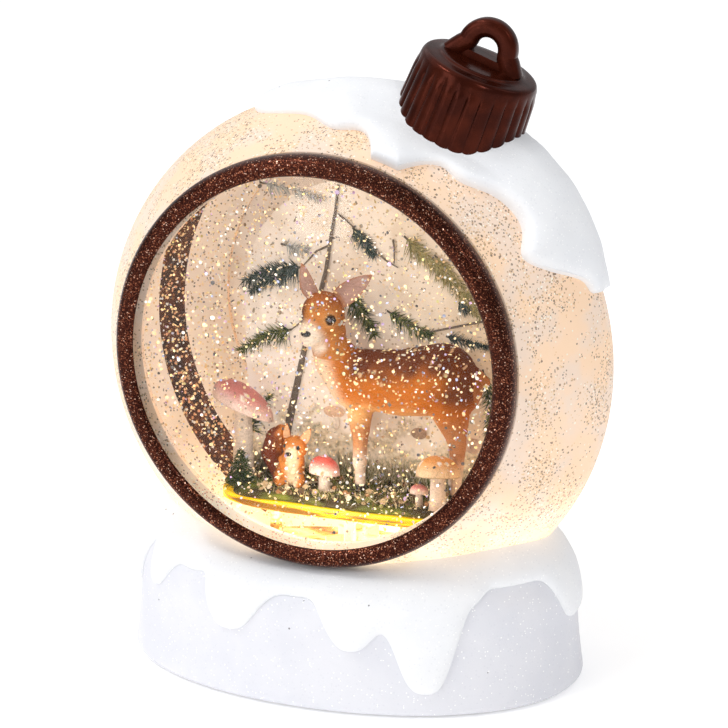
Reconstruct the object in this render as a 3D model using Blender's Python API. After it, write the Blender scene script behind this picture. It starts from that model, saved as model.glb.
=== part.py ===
"""Lighted water-filled snow globe in the shape of a Christmas bauble on a snowy base.

Frame: metres, +Z up, the front window faces -Y, +X to the viewer's right, and the origin lies on
the table under the centre of the base. The constants and outlines below are in millimetres.
"""
import math

import bmesh
import bpy
from mathutils import Matrix, Vector

MM = 0.001

# Bauble body: an oblate drum about the Y axis, whose widest circle is at the middle plane
DRUM_RADIUS = 82.0
RIM_RADIUS = 64.5
RIM_Y = 32.5
FACE_Y = 34.0
DRUM_HEIGHT = 100.1
WINDOW_HEIGHT = 106.6
WALL = 2.4
SEAM = 0.15
BODY_CUT_Z = 34.0
WINDOW_OPENING = 57.5
BODY_SEGMENTS = 48
CUTTER_GROWTH = 0.4

# Front and rear windows and the bead rings that hold them
RING_RADIUS = 64.0
RING_BORE = 57.3
RING_FRONT = 41.6
LENS_RISE = 3.6
LENS_THICKNESS = 1.6

# Base: a near-ellipse that flares towards the table, under a skin of snow
BASE_A = 71.0
BASE_B = 48.3
BASE_POWER = 2.07
BASE_FLARE = 2.4
FLARE_HEIGHT = 24.0
BASE_BOTTOM = 1.0
BASE_WALL = 2.4
OUTER_CLIMBS = [BASE_BOTTOM, 11.0, 24.0, 30.0, 36.0, 42.0, 47.0, 54.0]
SHOULDER_Z = 26.0
SHOULDER_INSET = 18.0
SHOULDER_ARC = 24.0
SIDE_TOP = 49.1
FRONT_TOP = 40.4
SNOW_GAP = 0.5
SNOW_SKIN = 1.4

# Ornament cap: its own axis leans to the right of the body's top
CAP_CENTRE = (32.0, 0.0, 173.5)
CAP_TILT = 21.0
CAP_RIBS = 28
CAP_BOTTOM_RADIUS = 19.3
CAP_TOP_RADIUS = 17.5
LOOP_RADIUS = 6.9
LOOP_CENTRE_W = 26.4
LOOP_FOOT_W = 22.5

# Inside of the base, from the bottom plate up to the tank floor
PLATE_BOTTOM = 1.5
PLATE_TOP = 3.6
TRAY_BOTTOM = 3.9
TRAY_TOP = 20.2
BOARD_BOTTOM = 20.5
BOARD_THICKNESS = 1.6
FLOOR_BOTTOM = 31.0
FLOOR_TOP = 33.7
CELL_RADIUS = 7.1
CELL_LENGTH = 49.0
CELL_PITCH = 15.2
CELL_Z = 11.6
DOOR_HALF = (27.8, 23.2)
POST_XY = (42.0, 13.0)
BOSS_XY = (56.0, 19.0)
FOOT_XY = (44.0, 29.0)
SWITCH_X = 50.0

# Scene in the water
SHELF_BOTTOM = 51.2
SHELF_TOP = 54.2
GROUND_TOP = 57.0

COLOURS = {
    "shell": (0.95, 0.80, 0.62, 0.5, 0.0),
    "glass": (0.95, 0.97, 1.0, 0.05, 0.0),
    "ring": (0.07, 0.025, 0.015, 0.35, 0.4),
    "snow": (0.93, 0.94, 0.95, 0.8, 0.0),
    "plinth": (0.80, 0.82, 0.88, 0.8, 0.0),
    "cap": (0.08, 0.02, 0.012, 0.3, 0.0),
    "acrylic": (0.95, 0.85, 0.35, 0.1, 0.0),
    "moss": (0.15, 0.20, 0.05, 0.9, 0.0),
    "fawn": (0.60, 0.25, 0.07, 0.6, 0.0),
    "pink": (0.75, 0.30, 0.28, 0.5, 0.0),
    "red": (0.75, 0.12, 0.10, 0.5, 0.0),
    "tan": (0.80, 0.50, 0.25, 0.5, 0.0),
    "needles": (0.06, 0.12, 0.05, 0.8, 0.0),
    "black": (0.03, 0.03, 0.03, 0.5, 0.0),
    "rubber": (0.05, 0.05, 0.05, 0.9, 0.0),
    "steel": (0.60, 0.60, 0.62, 0.3, 1.0),
    "board": (0.03, 0.20, 0.08, 0.5, 0.0),
    "lamp": (1.0, 0.85, 0.45, 0.2, 0.0),
    "cell": (0.10, 0.12, 0.15, 0.4, 0.2),
    "magnet": (0.25, 0.25, 0.27, 0.3, 1.0),
    "white": (0.85, 0.85, 0.85, 0.5, 0.0),
}


# ---------------------------------------------------------------- helpers

def clear_scene():
    for old in list(bpy.data.objects):
        bpy.data.objects.remove(old, do_unlink=True)


def material(key):
    """The Principled material of one colour name, made once."""
    found = bpy.data.materials.get(key)
    if found:
        return found
    red, green, blue, roughness, metallic = COLOURS[key]
    made = bpy.data.materials.new(key)
    made.use_nodes = True
    shader = made.node_tree.nodes["Principled BSDF"]
    shader.inputs["Base Color"].default_value = (red, green, blue, 1.0)
    shader.inputs["Roughness"].default_value = roughness
    shader.inputs["Metallic"].default_value = metallic
    return made


def add_mesh(name, points, faces, key, sharp=35.0):
    """An object from points in millimetres, its faces turned outwards."""
    mesh = bpy.data.meshes.new(name)
    mesh.from_pydata([Vector(p) * MM for p in points], [], faces)
    shape = bmesh.new()
    shape.from_mesh(mesh)
    bmesh.ops.recalc_face_normals(shape, faces=shape.faces)
    shape.to_mesh(mesh)
    shape.free()
    mesh.shade_smooth()
    mesh.set_sharp_from_angle(angle=math.radians(sharp))
    mesh.materials.append(material(key))
    made = bpy.data.objects.new(name, mesh)
    bpy.context.collection.objects.link(made)
    return made


def skin_rings(rings, closed):
    """Points and faces of a solid whose surface runs from ring to ring.

    A closed row of rings meets its own start, like a bent tube; an open one is capped at both ends.
    A ring of one point is a pole.
    """
    points = []
    starts = []
    for ring in rings:
        starts.append(len(points))
        points.extend(ring)
    faces = []
    pairs = list(zip(range(len(rings) - 1), range(1, len(rings))))
    if closed:
        pairs.append((len(rings) - 1, 0))
    for low, high in pairs:
        count = max(len(rings[low]), len(rings[high]))
        for i in range(count):
            j = (i + 1) % count
            a = starts[low] + (i if len(rings[low]) > 1 else 0)
            b = starts[low] + (j if len(rings[low]) > 1 else 0)
            c = starts[high] + (j if len(rings[high]) > 1 else 0)
            d = starts[high] + (i if len(rings[high]) > 1 else 0)
            corners = [a, b, c, d]
            faces.append([p for k, p in enumerate(corners) if p != corners[k - 1]])
    if not closed:
        for end in (0, len(rings) - 1):
            if len(rings[end]) > 1:
                faces.append(list(range(starts[end], starts[end] + len(rings[end]))))
    return points, faces


def turned(name, profile, key, origin=(0, 0, 0), axis=(0, 0, 1), segments=24, closed=False, sharp=35.0):
    """A solid turned about its own axis; the profile holds (radius, height) pairs."""
    rings = []
    for radius, height in profile:
        if radius < 1e-6:
            rings.append([(0.0, 0.0, height)])
            continue
        turns = [2 * math.pi * i / segments for i in range(segments)]
        rings.append([(radius * math.cos(t), radius * math.sin(t), height) for t in turns])
    made = add_mesh(name, *skin_rings(rings, closed), key, sharp)
    made.rotation_euler = Vector((0, 0, 1)).rotation_difference(Vector(axis)).to_euler()
    made.location = Vector(origin) * MM
    return made


def box(name, low, high, key):
    """A block between two corners."""
    (x0, y0, z0), (x1, y1, z1) = low, high
    bottom = [(x0, y0, z0), (x1, y0, z0), (x1, y1, z0), (x0, y1, z0)]
    top = [(x0, y0, z1), (x1, y0, z1), (x1, y1, z1), (x0, y1, z1)]
    return add_mesh(name, *skin_rings([bottom, top], False), key)


def prism(name, outline, low, high, key):
    """An upright plate whose plan is the outline."""
    rings = [[(x, y, z) for x, y in outline] for z in (low, high)]
    return add_mesh(name, *skin_rings(rings, False), key)


def oval(half_x, half_y, power=2.0, segments=48):
    """A superellipse in plan."""
    turns = [2 * math.pi * i / segments for i in range(segments)]
    return [superellipse(half_x, half_y, t, power) for t in turns]


def superellipse(half_x, half_y, turn, power):
    cosine = math.cos(turn)
    sine = math.sin(turn)
    x = half_x * math.copysign(abs(cosine) ** (2 / power), cosine)
    y = half_y * math.copysign(abs(sine) ** (2 / power), sine)
    return x, y


def hide_cutter(cutter):
    cutter.hide_render = True
    cutter.display_type = "WIRE"
    return cutter


def combine(target, other, operation):
    """A Boolean that takes the other solid off the target, or joins it on, and keeps it as a guide."""
    hide_cutter(other)
    step = target.modifiers.new(operation.lower() + " " + other.name, "BOOLEAN")
    step.operation = operation
    step.solver = "EXACT"
    step.object = other
    return target


def merged_mesh(name, sources, key):
    """One cutter from several blocks or turned solids that stay apart from each other."""
    shape = bmesh.new()
    for source in sources:
        start = len(shape.verts)
        shape.from_mesh(source.data)
        shape.verts.ensure_lookup_table()
        turn = source.rotation_euler.to_matrix().to_4x4()
        place = Matrix.Translation(source.location) @ turn
        bmesh.ops.transform(shape, matrix=place, verts=shape.verts[start:])
    mesh = bpy.data.meshes.new(name)
    shape.to_mesh(mesh)
    shape.free()
    mesh.materials.append(material(key))
    made = bpy.data.objects.new(name, mesh)
    bpy.context.collection.objects.link(made)
    for source in sources:
        bpy.data.objects.remove(source, do_unlink=True)
    return made


def organic(name, limbs, key, voxel, share):
    """One closed body from tapered limbs, each (start, start radius, end, end radius).

    The limbs are rows of balls that a voxel remesh fuses and a decimation thins.
    """
    shape = bmesh.new()
    for start, radius_a, end, radius_b in limbs:
        first = Vector(start)
        last = Vector(end)
        steps = max(2, int((last - first).length / (0.35 * min(radius_a, radius_b))) + 1)
        for k in range(steps):
            f = k / (steps - 1)
            radius = radius_a + (radius_b - radius_a) * f
            place = Matrix.Translation(first.lerp(last, f) * MM)
            bmesh.ops.create_icosphere(shape, subdivisions=2, radius=radius * MM, matrix=place)
    mesh = bpy.data.meshes.new(name)
    shape.to_mesh(mesh)
    shape.free()
    mesh.materials.append(material(key))
    made = bpy.data.objects.new(name, mesh)
    bpy.context.collection.objects.link(made)
    fuse = made.modifiers.new("fuse", "REMESH")
    fuse.mode = "VOXEL"
    fuse.voxel_size = voxel * MM
    fuse.use_smooth_shade = True
    thin = made.modifiers.new("thin", "DECIMATE")
    thin.ratio = share
    return made


# ---------------------------------------------------------------- the bauble's surface

def drum_radius(y):
    return DRUM_RADIUS - (DRUM_RADIUS - RIM_RADIUS) * (abs(y) / RIM_Y) ** 1.6


def drum_slope(y):
    """How fast the radius falls with the distance from the middle plane."""
    return 1.6 * (DRUM_RADIUS - RIM_RADIUS) / RIM_Y * (abs(y) / RIM_Y) ** 0.6


def drum_height(y):
    share = min(abs(y), RIM_Y) / RIM_Y
    return DRUM_HEIGHT + (WINDOW_HEIGHT - DRUM_HEIGHT) * share ** 1.8


def drum_point(angle, y, lift=0.0):
    """A point over the drum at an angle clockwise from the top; lift is along the surface's normal."""
    lean = math.atan(drum_slope(y))
    radius = drum_radius(y) + lift * math.cos(lean)
    out = math.copysign(lift * math.sin(lean), y)
    turn = math.radians(angle)
    return radius * math.sin(turn), y + out, drum_height(y) + radius * math.cos(turn)


def drum_circle(radius, y, centre):
    turns = [2 * math.pi * i / BODY_SEGMENTS for i in range(BODY_SEGMENTS)]
    return [(radius * math.sin(t), y, centre + radius * math.cos(t)) for t in turns]


def body_cutter():
    """The whole body a little larger, to cut the opening that it stands in."""
    rows = [0.0, 12.0, 21.0, 28.0, RIM_Y]
    stations = [-y for y in reversed(rows[1:])] + rows
    rings = [drum_circle(drum_radius(y) + CUTTER_GROWTH, y, drum_height(y)) for y in stations]
    front = drum_circle(RIM_RADIUS, -FACE_Y - CUTTER_GROWTH, WINDOW_HEIGHT)
    rear = drum_circle(RIM_RADIUS, FACE_Y + CUTTER_GROWTH, WINDOW_HEIGHT)
    return add_mesh("body_cutter", *skin_rings([front] + rings + [rear], False), "shell")


def body_half(name, side, below):
    """Half of the hollow body, from the seam to the face that the window closes."""
    outer = [SEAM, 12.0, 21.0, 28.0, RIM_Y]
    inner = [31.0, 25.0, 15.0, SEAM]
    rings = [drum_circle(drum_radius(y), side * y, drum_height(y)) for y in outer]
    rings.append(drum_circle(RIM_RADIUS - 0.6, side * FACE_Y, WINDOW_HEIGHT))
    rings.append(drum_circle(WINDOW_OPENING, side * FACE_Y, WINDOW_HEIGHT))
    rings.append(drum_circle(WINDOW_OPENING, side * (FACE_Y - 2.0), WINDOW_HEIGHT))
    for y in inner:
        wall = WALL * math.hypot(1.0, drum_slope(y))
        rings.append(drum_circle(drum_radius(y) - wall, side * y, drum_height(y)))
    half = add_mesh(name, *skin_rings(rings, True), "shell")
    return combine(half, below, "DIFFERENCE")


def window_ring(name, side):
    """Bead ring with a rabbet behind it for the window's flange."""
    back = FACE_Y + 0.3
    profile = [(63.4, back), (RING_RADIUS, back + 1.6), (RING_RADIUS, 38.4), (62.8, 40.7)]
    profile += [(60.6, RING_FRONT), (58.4, 40.8), (RING_BORE, 38.6), (RING_BORE, 36.8)]
    profile += [(61.3, 36.8), (61.3, back)]
    centre = (0, 0, WINDOW_HEIGHT)
    return turned(name, profile, "ring", centre, (0, side, 0), BODY_SEGMENTS, True)


def window_lens(name, side):
    """Domed clear window with a flat flange that the ring clamps."""
    back = FACE_Y + 0.4
    front = back + LENS_THICKNESS

    def dome(radius, base):
        return base + LENS_RISE * (1.0 - (radius / 56.8) ** 2)

    radii = [44.0, 26.0, 0.0]
    profile = [(r, dome(r, back)) for r in reversed(radii)]
    profile += [(56.0, back), (60.9, back), (60.9, front), (56.8, front)]
    profile += [(r, dome(r, front)) for r in radii]
    centre = (0, 0, WINDOW_HEIGHT)
    return turned(name, profile, "glass", centre, (0, side, 0), BODY_SEGMENTS)


# ---------------------------------------------------------------- snow over the top

SNOW_START = -23.0
SNOW_END = 71.0
FRONT_LOBES = (
    (1.5, 6.5, 6.0),
    (18.5, 7.5, 18.0),
    (34.5, 6.0, 5.0),
    (58.5, 5.5, 8.0),
    (67.5, 3.0, -4.5),
)
REAR_LOBES = ((6.0, 6.0, 10.0), (34.0, 6.0, 13.0), (57.0, 6.0, 6.0))


def snow_edge(angle, lobes):
    """How far the top snow reaches from the middle plane at an angle from the top."""
    middle = (SNOW_START + SNOW_END) / 2
    share = abs(angle - middle) / (SNOW_END - middle)
    reach = 18.0 * max(0.0, 1.0 - share ** 3) ** (1 / 3)
    for centre, width, depth in lobes:
        reach += depth * math.exp(-((angle - centre) / width) ** 2)
    return min(max(reach, 2.5), 31.5)


def snow_depth(angle):
    """Thickness of the top snow along its middle."""
    return 2.6 + 4.2 * math.exp(-((angle - 36.0) / 24.0) ** 2)


def snow_cover(cap_room):
    columns = 34
    across = [-1.0, -0.95, -0.78, -0.4, 0.0, 0.4, 0.78, 0.95, 1.0]
    rings = []
    for i in range(columns + 1):
        angle = SNOW_START + (SNOW_END - SNOW_START) * i / columns
        front = snow_edge(angle, FRONT_LOBES)
        rear = snow_edge(angle, REAR_LOBES)
        ends = math.sin(math.pi * i / columns) ** 0.4
        ring = []
        for v in across:
            y = (rear - front) / 2 + (rear + front) / 2 * v
            lift = SNOW_GAP + 0.9 + snow_depth(angle) * ends * (1 - abs(v) ** 5) ** 0.5
            ring.append(drum_point(angle, y, lift))
        for v in (0.98, 0.62, 0.2, -0.2, -0.62, -0.98):
            y = (rear - front) / 2 + (rear + front) / 2 * v
            ring.append(drum_point(angle, y, SNOW_GAP + 0.2))
        rings.append(ring)
    cover = add_mesh("snow_cover_top", *skin_rings(rings, False), "snow")
    return combine(cover, cap_room, "DIFFERENCE")


# ---------------------------------------------------------------- the base and its snow

# Each drip: its angle on the plan (degrees, -90 is the front), depth, left and right half-widths
DRIPS = (
    (-140.0, 13.0, 6.0, 6.0),
    (-126.0, 4.5, 8.0, 8.0),
    (-111.0, 18.5, 6.5, 9.8),
    (-93.0, 5.2, 10.5, 9.5),
    (-78.0, 19.0, 6.8, 8.0),
    (-59.0, 31.0, 9.0, 9.5),
    (-45.0, 4.0, 4.5, 4.5),
    (2.0, 16.0, 14.0, 11.0),
    (32.0, 10.0, 8.0, 8.0),
    (58.0, 25.0, 8.0, 9.0),
    (80.0, 14.0, 7.0, 7.0),
    (103.0, 28.0, 9.0, 8.0),
    (128.0, 12.0, 8.0, 8.0),
    (155.0, 19.0, 9.0, 9.0),
    (-176.0, 11.0, 8.0, 8.0),
    (-160.0, 17.0, 7.0, 7.0),
)
DRIP_LINE = 39.4


def snow_low_edge(degrees):
    """Height of the mantle's lower edge at an angle on the plan."""
    height = DRIP_LINE + 0.8 * math.sin(math.radians(2 * degrees - 20))
    for centre, depth, left, right in DRIPS:
        away = (degrees - centre + 180) % 360 - 180
        width = left if away < 0 else right
        height -= depth * math.exp(-abs(away / width) ** 4)
    return height


def base_top(turn):
    """Height of the deck, which is lower under the windows than at the sides."""
    return SIDE_TOP + (FRONT_TOP - SIDE_TOP) * math.sin(turn) ** 2


def base_point(turn, climb, lift):
    """A point of the base's surface: climb is the way up the wall, over the shoulder and inwards."""
    top = base_top(turn)
    arc = SHOULDER_ARC
    if climb <= SHOULDER_Z:
        inset = -BASE_FLARE * max(0.0, 1 - climb / FLARE_HEIGHT) ** 1.5
        lean = 0.0
        height = climb
    elif climb <= SHOULDER_Z + arc:
        lean = (climb - SHOULDER_Z) / arc * math.pi / 2
        inset = SHOULDER_INSET * (1 - math.cos(lean))
        height = SHOULDER_Z + (top - SHOULDER_Z) * math.sin(lean)
    else:
        lean = math.pi / 2
        inset = SHOULDER_INSET + climb - SHOULDER_Z - arc
        height = top
    inset -= lift * math.cos(lean)
    height += lift * math.sin(lean)
    x, y = superellipse(BASE_A - inset, BASE_B - inset, turn, BASE_POWER)
    return x, y, height


def climb_of_height(turn, height):
    """The climb at which the base's surface reaches a height."""
    if height <= SHOULDER_Z:
        return height
    share = min(1.0, (height - SHOULDER_Z) / (base_top(turn) - SHOULDER_Z))
    return SHOULDER_Z + SHOULDER_ARC * math.asin(share) / (math.pi / 2)


def base_rings(climbs, lift, segments):
    turns = [2 * math.pi * i / segments for i in range(segments)]
    return [[base_point(t, climb, lift) for t in turns] for climb in climbs]


def base_core():
    """The base's outer surface a little larger and solid, to cut the mantle's inside."""
    rings = [[(0, 0, BASE_BOTTOM)]] + base_rings(OUTER_CLIMBS + [60.0], SNOW_GAP, 48)
    rings.append([(0, 0, (SIDE_TOP + FRONT_TOP) / 2)])
    return add_mesh("base_core", *skin_rings(rings, False), "plinth")


def snow_mantle(cutter):
    """Skin of snow over the base's shoulder, with drips down the wall."""
    front = [-151.3 + 2.5 * i for i in range(65)]
    turns = [math.radians(d) for d in front + [front[-1] + 4.97 * i for i in range(1, 40)]]
    even_climb = SHOULDER_Z + 0.85 * SHOULDER_ARC
    top_climb = SHOULDER_Z + SHOULDER_ARC + 6.0
    edge_lift = SNOW_GAP + 0.7
    full_lift = SNOW_GAP + SNOW_SKIN
    rows = [(0.0, edge_lift), (0.07, full_lift - 0.2), (0.25, full_lift), (0.5, full_lift)]
    rows += [(0.75, full_lift), (1.0, full_lift), (2.0, full_lift), (2.0, -4.0), (0.0, -4.0)]
    lows = [climb_of_height(t, snow_low_edge(math.degrees(t))) for t in turns]
    rings = []
    for share, lift in rows:
        if share > 1.0:
            climbs = [top_climb for low in lows]
        else:
            climbs = [low + (even_climb - low) * share for low in lows]
        rings.append([base_point(t, c, lift) for t, c in zip(turns, climbs)])
    mantle = add_mesh("snow_mantle", *skin_rings(rings, True), "snow")
    combine(mantle, base_core(), "DIFFERENCE")
    return combine(mantle, cutter, "DIFFERENCE")


def base_housing(cutter):
    """Hollow plinth, open below, with the opening that the body stands in and four screw bosses."""
    inner_climbs = [54.0, 45.0, 35.0, 24.0, BASE_BOTTOM]
    rings = base_rings(OUTER_CLIMBS, 0.0, 48) + base_rings(inner_climbs, -BASE_WALL, 48)
    housing = add_mesh("base_housing", *skin_rings(rings, True), "plinth")
    profile = [(0, 15.9), (1.3, 15.9), (1.3, TRAY_BOTTOM), (3.6, TRAY_BOTTOM), (3.6, 39.0), (0, 39.0)]
    bosses = []
    for x in (-BOSS_XY[0], BOSS_XY[0]):
        for y in (-BOSS_XY[1], BOSS_XY[1]):
            bosses.append(turned("boss", profile, "plinth", (x, y, 0), segments=12))
    combine(housing, merged_mesh("housing_bosses", bosses, "plinth"), "UNION")
    return combine(housing, cutter, "DIFFERENCE")


def bottom_plate():
    """Oval plate with the battery opening, the switch slot, screw holes and posts for the tank floor."""
    plate = prism("bottom_plate", oval(70.2, 47.4, BASE_POWER), PLATE_BOTTOM, PLATE_TOP, "plinth")
    posts = []
    cuts = []
    for x in (-1, 1):
        for y in (-1, 1):
            place = (x * POST_XY[0], y * POST_XY[1], 0)
            profile = [(0, 2.5), (3.0, 2.5), (3.0, FLOOR_BOTTOM - 0.3), (0, FLOOR_BOTTOM - 0.3)]
            posts.append(turned("post", profile, "plinth", place, segments=12))
            place = (x * BOSS_XY[0], y * BOSS_XY[1], 0)
            profile = [(0, 0.5), (3.1, 0.5), (3.1, 2.7), (1.4, 2.7), (1.4, 5.0), (0, 5.0)]
            cuts.append(turned("hole", profile, "plinth", place, segments=12))
    door_x, door_y = DOOR_HALF
    cuts.append(box("bay", (-door_x - 0.4, -door_y - 0.4, 0.5), (door_x + 0.4, door_y + 0.4, 5.0), "plinth"))
    cuts.append(box("slot", (SWITCH_X - 1.6, -4.8, 0.5), (SWITCH_X + 1.6, 4.8, 5.0), "plinth"))
    combine(plate, merged_mesh("plate_posts", posts, "plinth"), "UNION")
    return combine(plate, merged_mesh("plate_cuts", cuts, "plinth"), "DIFFERENCE")


# ---------------------------------------------------------------- cap and loop

def cap_axis():
    turn = math.radians(CAP_TILT)
    return Vector((math.sin(turn), 0.0, math.cos(turn)))


def cap_solid(cutter):
    """Ribbed hollow cap with a rounded top edge and a raised middle for the loop."""
    segments = 2 * CAP_RIBS
    profile = [(0, 17.2, 0), (15.4, 17.2, 0), (16.6, -2.5, 0), (CAP_BOTTOM_RADIUS, -2.5, 0.5)]
    profile += [(CAP_TOP_RADIUS + 0.3, 17.2, 0.5), (17.1, 19.2, 0.35), (15.8, 20.7, 0.1)]
    profile += [(14.2, 21.2, 0), (13.2, 22.2, 0), (0, 22.2, 0)]
    rings = []
    for radius, height, rib in profile:
        if radius == 0:
            rings.append([(0, 0, height)])
            continue
        ring = []
        for i in range(segments):
            turn = 2 * math.pi * i / segments
            reach = radius + (rib if i % 2 else -rib)
            ring.append((reach * math.cos(turn), reach * math.sin(turn), height))
        rings.append(ring)
    cap = add_mesh("ornament_cap", *skin_rings(rings, False), "cap", 25)
    place_on_cap(cap)
    return combine(cap, cutter, "DIFFERENCE")


def place_on_cap(thing):
    thing.location = Vector(CAP_CENTRE) * MM
    thing.rotation_euler = (0, math.radians(CAP_TILT), 0)


def cap_loop():
    """Arch with a thick rounded section and spread feet."""
    path = [(-8.6, LOOP_FOOT_W, 3.1), (-7.4, LOOP_FOOT_W + 2.2, 2.6)]
    for i in range(13):
        turn = math.pi - math.pi * i / 12
        path.append((LOOP_RADIUS * math.cos(turn), LOOP_CENTRE_W + LOOP_RADIUS * math.sin(turn), 2.5))
    path += [(7.4, LOOP_FOOT_W + 2.2, 2.6), (8.6, LOOP_FOOT_W, 3.1)]
    rings = []
    for k, (u, w, half) in enumerate(path):
        before = path[max(0, k - 1)]
        after = path[min(len(path) - 1, k + 1)]
        along = Vector((after[0] - before[0], 0, after[1] - before[1])).normalized()
        if k in (0, len(path) - 1):
            along = Vector((0, 0, 1 if k == 0 else -1))
        across = along.cross(Vector((0, 1, 0)))
        ring = []
        for i in range(10):
            turn = 2 * math.pi * i / 10
            offset = across * half * math.cos(turn) + Vector((0, 1, 0)) * 2.9 * math.sin(turn)
            ring.append(Vector((u, 0, w)) + offset)
        rings.append([tuple(p) for p in ring])
    loop = add_mesh("cap_loop", *skin_rings(rings, False), "cap", 50)
    place_on_cap(loop)
    return loop


def neck_plug(cutter):
    """Plug on the bauble's neck that fills the cap."""
    plug = turned("neck_plug", [(0, -6), (16.1, -6), (15.9, 0), (15.0, 16.8), (0, 16.8)], "shell", segments=28)
    place_on_cap(plug)
    return combine(plug, cutter, "DIFFERENCE")


def cap_room():
    """The room that the snow leaves for the cap."""
    room = turned("cap_room", [(0, -12), (20.6, -12), (20.6, 2), (19.6, 30), (0, 30)], "snow", segments=48)
    place_on_cap(room)
    return room


# ---------------------------------------------------------------- the water chamber's insides

def tank_floor():
    profile = [(0, FLOOR_TOP - 0.8), (1.5, FLOOR_TOP - 0.8), (1.5, 43.2), (0, 43.2)]
    pin = turned("floor_pin", profile, "glass", segments=16)
    floor = prism("tank_floor", oval(51.0, 28.5), FLOOR_BOTTOM, FLOOR_TOP, "glass")
    combine(floor, pin, "UNION")
    hole = turned("fill_hole", [(0, 29), (4.2, 29), (4.2, 36), (0, 36)], "glass", (-32, 0, 0), segments=16)
    return combine(floor, hole, "DIFFERENCE")


def fill_plug():
    profile = [(0, 29.2), (5.6, 29.2), (5.6, 30.7), (3.8, 30.7), (3.6, 33.4), (0, 33.4)]
    return turned("fill_plug", profile, "rubber", (-32, 0, 0), segments=16)


def shelf():
    return prism("scene_shelf", oval(47.0, 20.0, 2.8, 40), SHELF_BOTTOM, SHELF_TOP, "acrylic")


def shelf_posts():
    for number, (x, y) in enumerate(((3.0, -14.0), (-30.0, 6.0), (30.0, 6.0)), 1):
        profile = [(0, FLOOR_TOP + 0.3), (2.4, FLOOR_TOP + 0.3), (1.9, 36.0), (1.9, SHELF_BOTTOM - 0.3)]
        profile.append((0, SHELF_BOTTOM - 0.3))
        turned("shelf_post_%d" % number, profile, "acrylic", (x, y, 0), segments=12)


def ground():
    """Low mossy mound with an uneven rim."""
    rings = []
    for share, height in ((1.0, 0.3), (1.0, 1.1), (0.9, 2.0), (0.6, 2.6)):
        ring = []
        for i in range(36):
            turn = 2 * math.pi * i / 36
            wave = 1 + 0.05 * math.sin(5 * turn) + 0.03 * math.cos(9 * turn + 1)
            x, y = superellipse(43.5 * share * wave, 18.2 * share * wave, turn, 2.8)
            ring.append((x, y, SHELF_TOP + height))
        rings.append(ring)
    rings.append([(0, 0, GROUND_TOP)])
    return add_mesh("moss_ground", *skin_rings(rings, False), "moss")


def tree_panel():
    """Clear panel with an arched top that carries the printed trees."""
    low = GROUND_TOP - 0.2 + 0.4
    outline = [(-41.0, low), (41.0, low)]
    for i in range(21):
        turn = math.pi * i / 20
        outline.append((47.0 * math.cos(turn) * (1 - 0.12 * (1 - math.sin(turn))), 106.0 + 47.0 * math.sin(turn)))
    rings = [[(x, y, z) for x, z in outline] for y in (9.6, 10.8)]
    return add_mesh("tree_panel", *skin_rings(rings, False), "glass")


def deer():
    foot = GROUND_TOP + 1.9
    limbs = [
        ((3, -1.5, 92), 9.8, (16.4, -2, 92.5), 10.8),
        ((16.4, -2, 92.5), 10.8, (28.9, -2.6, 95.2), 11.6),
        ((-4.5, -1.5, 99), 6.8, (0, -1, 92), 8.6),
        ((-7, -1.5, 107), 5.2, (-4.5, -1.5, 99), 6.8),
        ((-8.3, -2, 112.2), 6.2, (-7.5, -2, 109), 5.8),
        ((-10, -3, 108.5), 5.0, (-14, -5, 104.6), 2.9),
        ((-12, -1.5, 117), 2.0, (-17.6, -2, 125.2), 1.2),
        ((-4, -1.5, 117), 2.0, (4.4, -1, 124.5), 1.2),
        ((2.5, -5, 87), 4.8, (3.2, -5.5, 74), 2.6),
        ((3.2, -5.5, 74), 2.6, (3.2, -5.5, foot), 1.9),
        ((0, 3, 87), 4.4, (-0.3, 3.5, 71), 2.3),
        ((-0.3, 3.5, 71), 2.3, (-0.3, 3.5, foot), 1.9),
        ((33, -4, 90), 7.6, (36, -5.5, 77), 3.4),
        ((36, -5.5, 77), 3.4, (34.6, -5.5, foot), 1.9),
        ((33.5, 2, 90), 6.6, (35.5, 3.5, 76), 3.2),
        ((35.5, 3.5, 76), 3.2, (33.5, 3.5, foot), 1.9),
        ((38.5, -1, 100.5), 2.4, (43, -1, 96), 1.7),
    ]
    return organic("deer", limbs, "fawn", 1.5, 0.12)


def squirrel():
    foot = GROUND_TOP + 2.2
    limbs = [
        ((-19.5, -7.5, 61.5), 4.6, (-18, -8.5, 66), 3.8),
        ((-17.4, -9, 69.6), 3.8, (-17.9, -11.8, 68.3), 2.1),
        ((-19.4, -8.5, 72.4), 1.3, (-19.8, -8.5, 75.8), 0.9),
        ((-15, -8.5, 72), 1.3, (-13, -8.5, 75.4), 0.9),
        ((-22.5, -9, foot), 2.2, (-16, -10.5, foot), 1.9),
        ((-25, -5.5, 60.5), 2.6, (-26.8, -5, 66.5), 3.4),
        ((-26.8, -5, 66.5), 3.4, (-24.4, -5.5, 72), 2.6),
    ]
    return organic("squirrel", limbs, "fawn", 0.9, 0.16)


def mushroom(name, key, x, y, cap_radius, cap_rise, top, stem_radius, segments=16):
    """Domed cap on a stem that swells towards the ground."""
    foot = GROUND_TOP + 0.3
    brim = top - cap_rise
    profile = [(0, foot), (stem_radius * 1.35, foot), (stem_radius * 1.1, foot + 0.2 * (brim - foot))]
    profile += [(stem_radius * 0.85, brim + 0.5), (cap_radius * 0.75, brim - 0.3), (cap_radius, brim)]
    for share in (0.30, 0.60, 0.85):
        profile.append((cap_radius * math.cos(share * math.pi / 2), brim + cap_rise * math.sin(share * math.pi / 2)))
    profile.append((0, top))
    return turned(name, profile, key, (x, y, 0), segments=segments)


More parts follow.
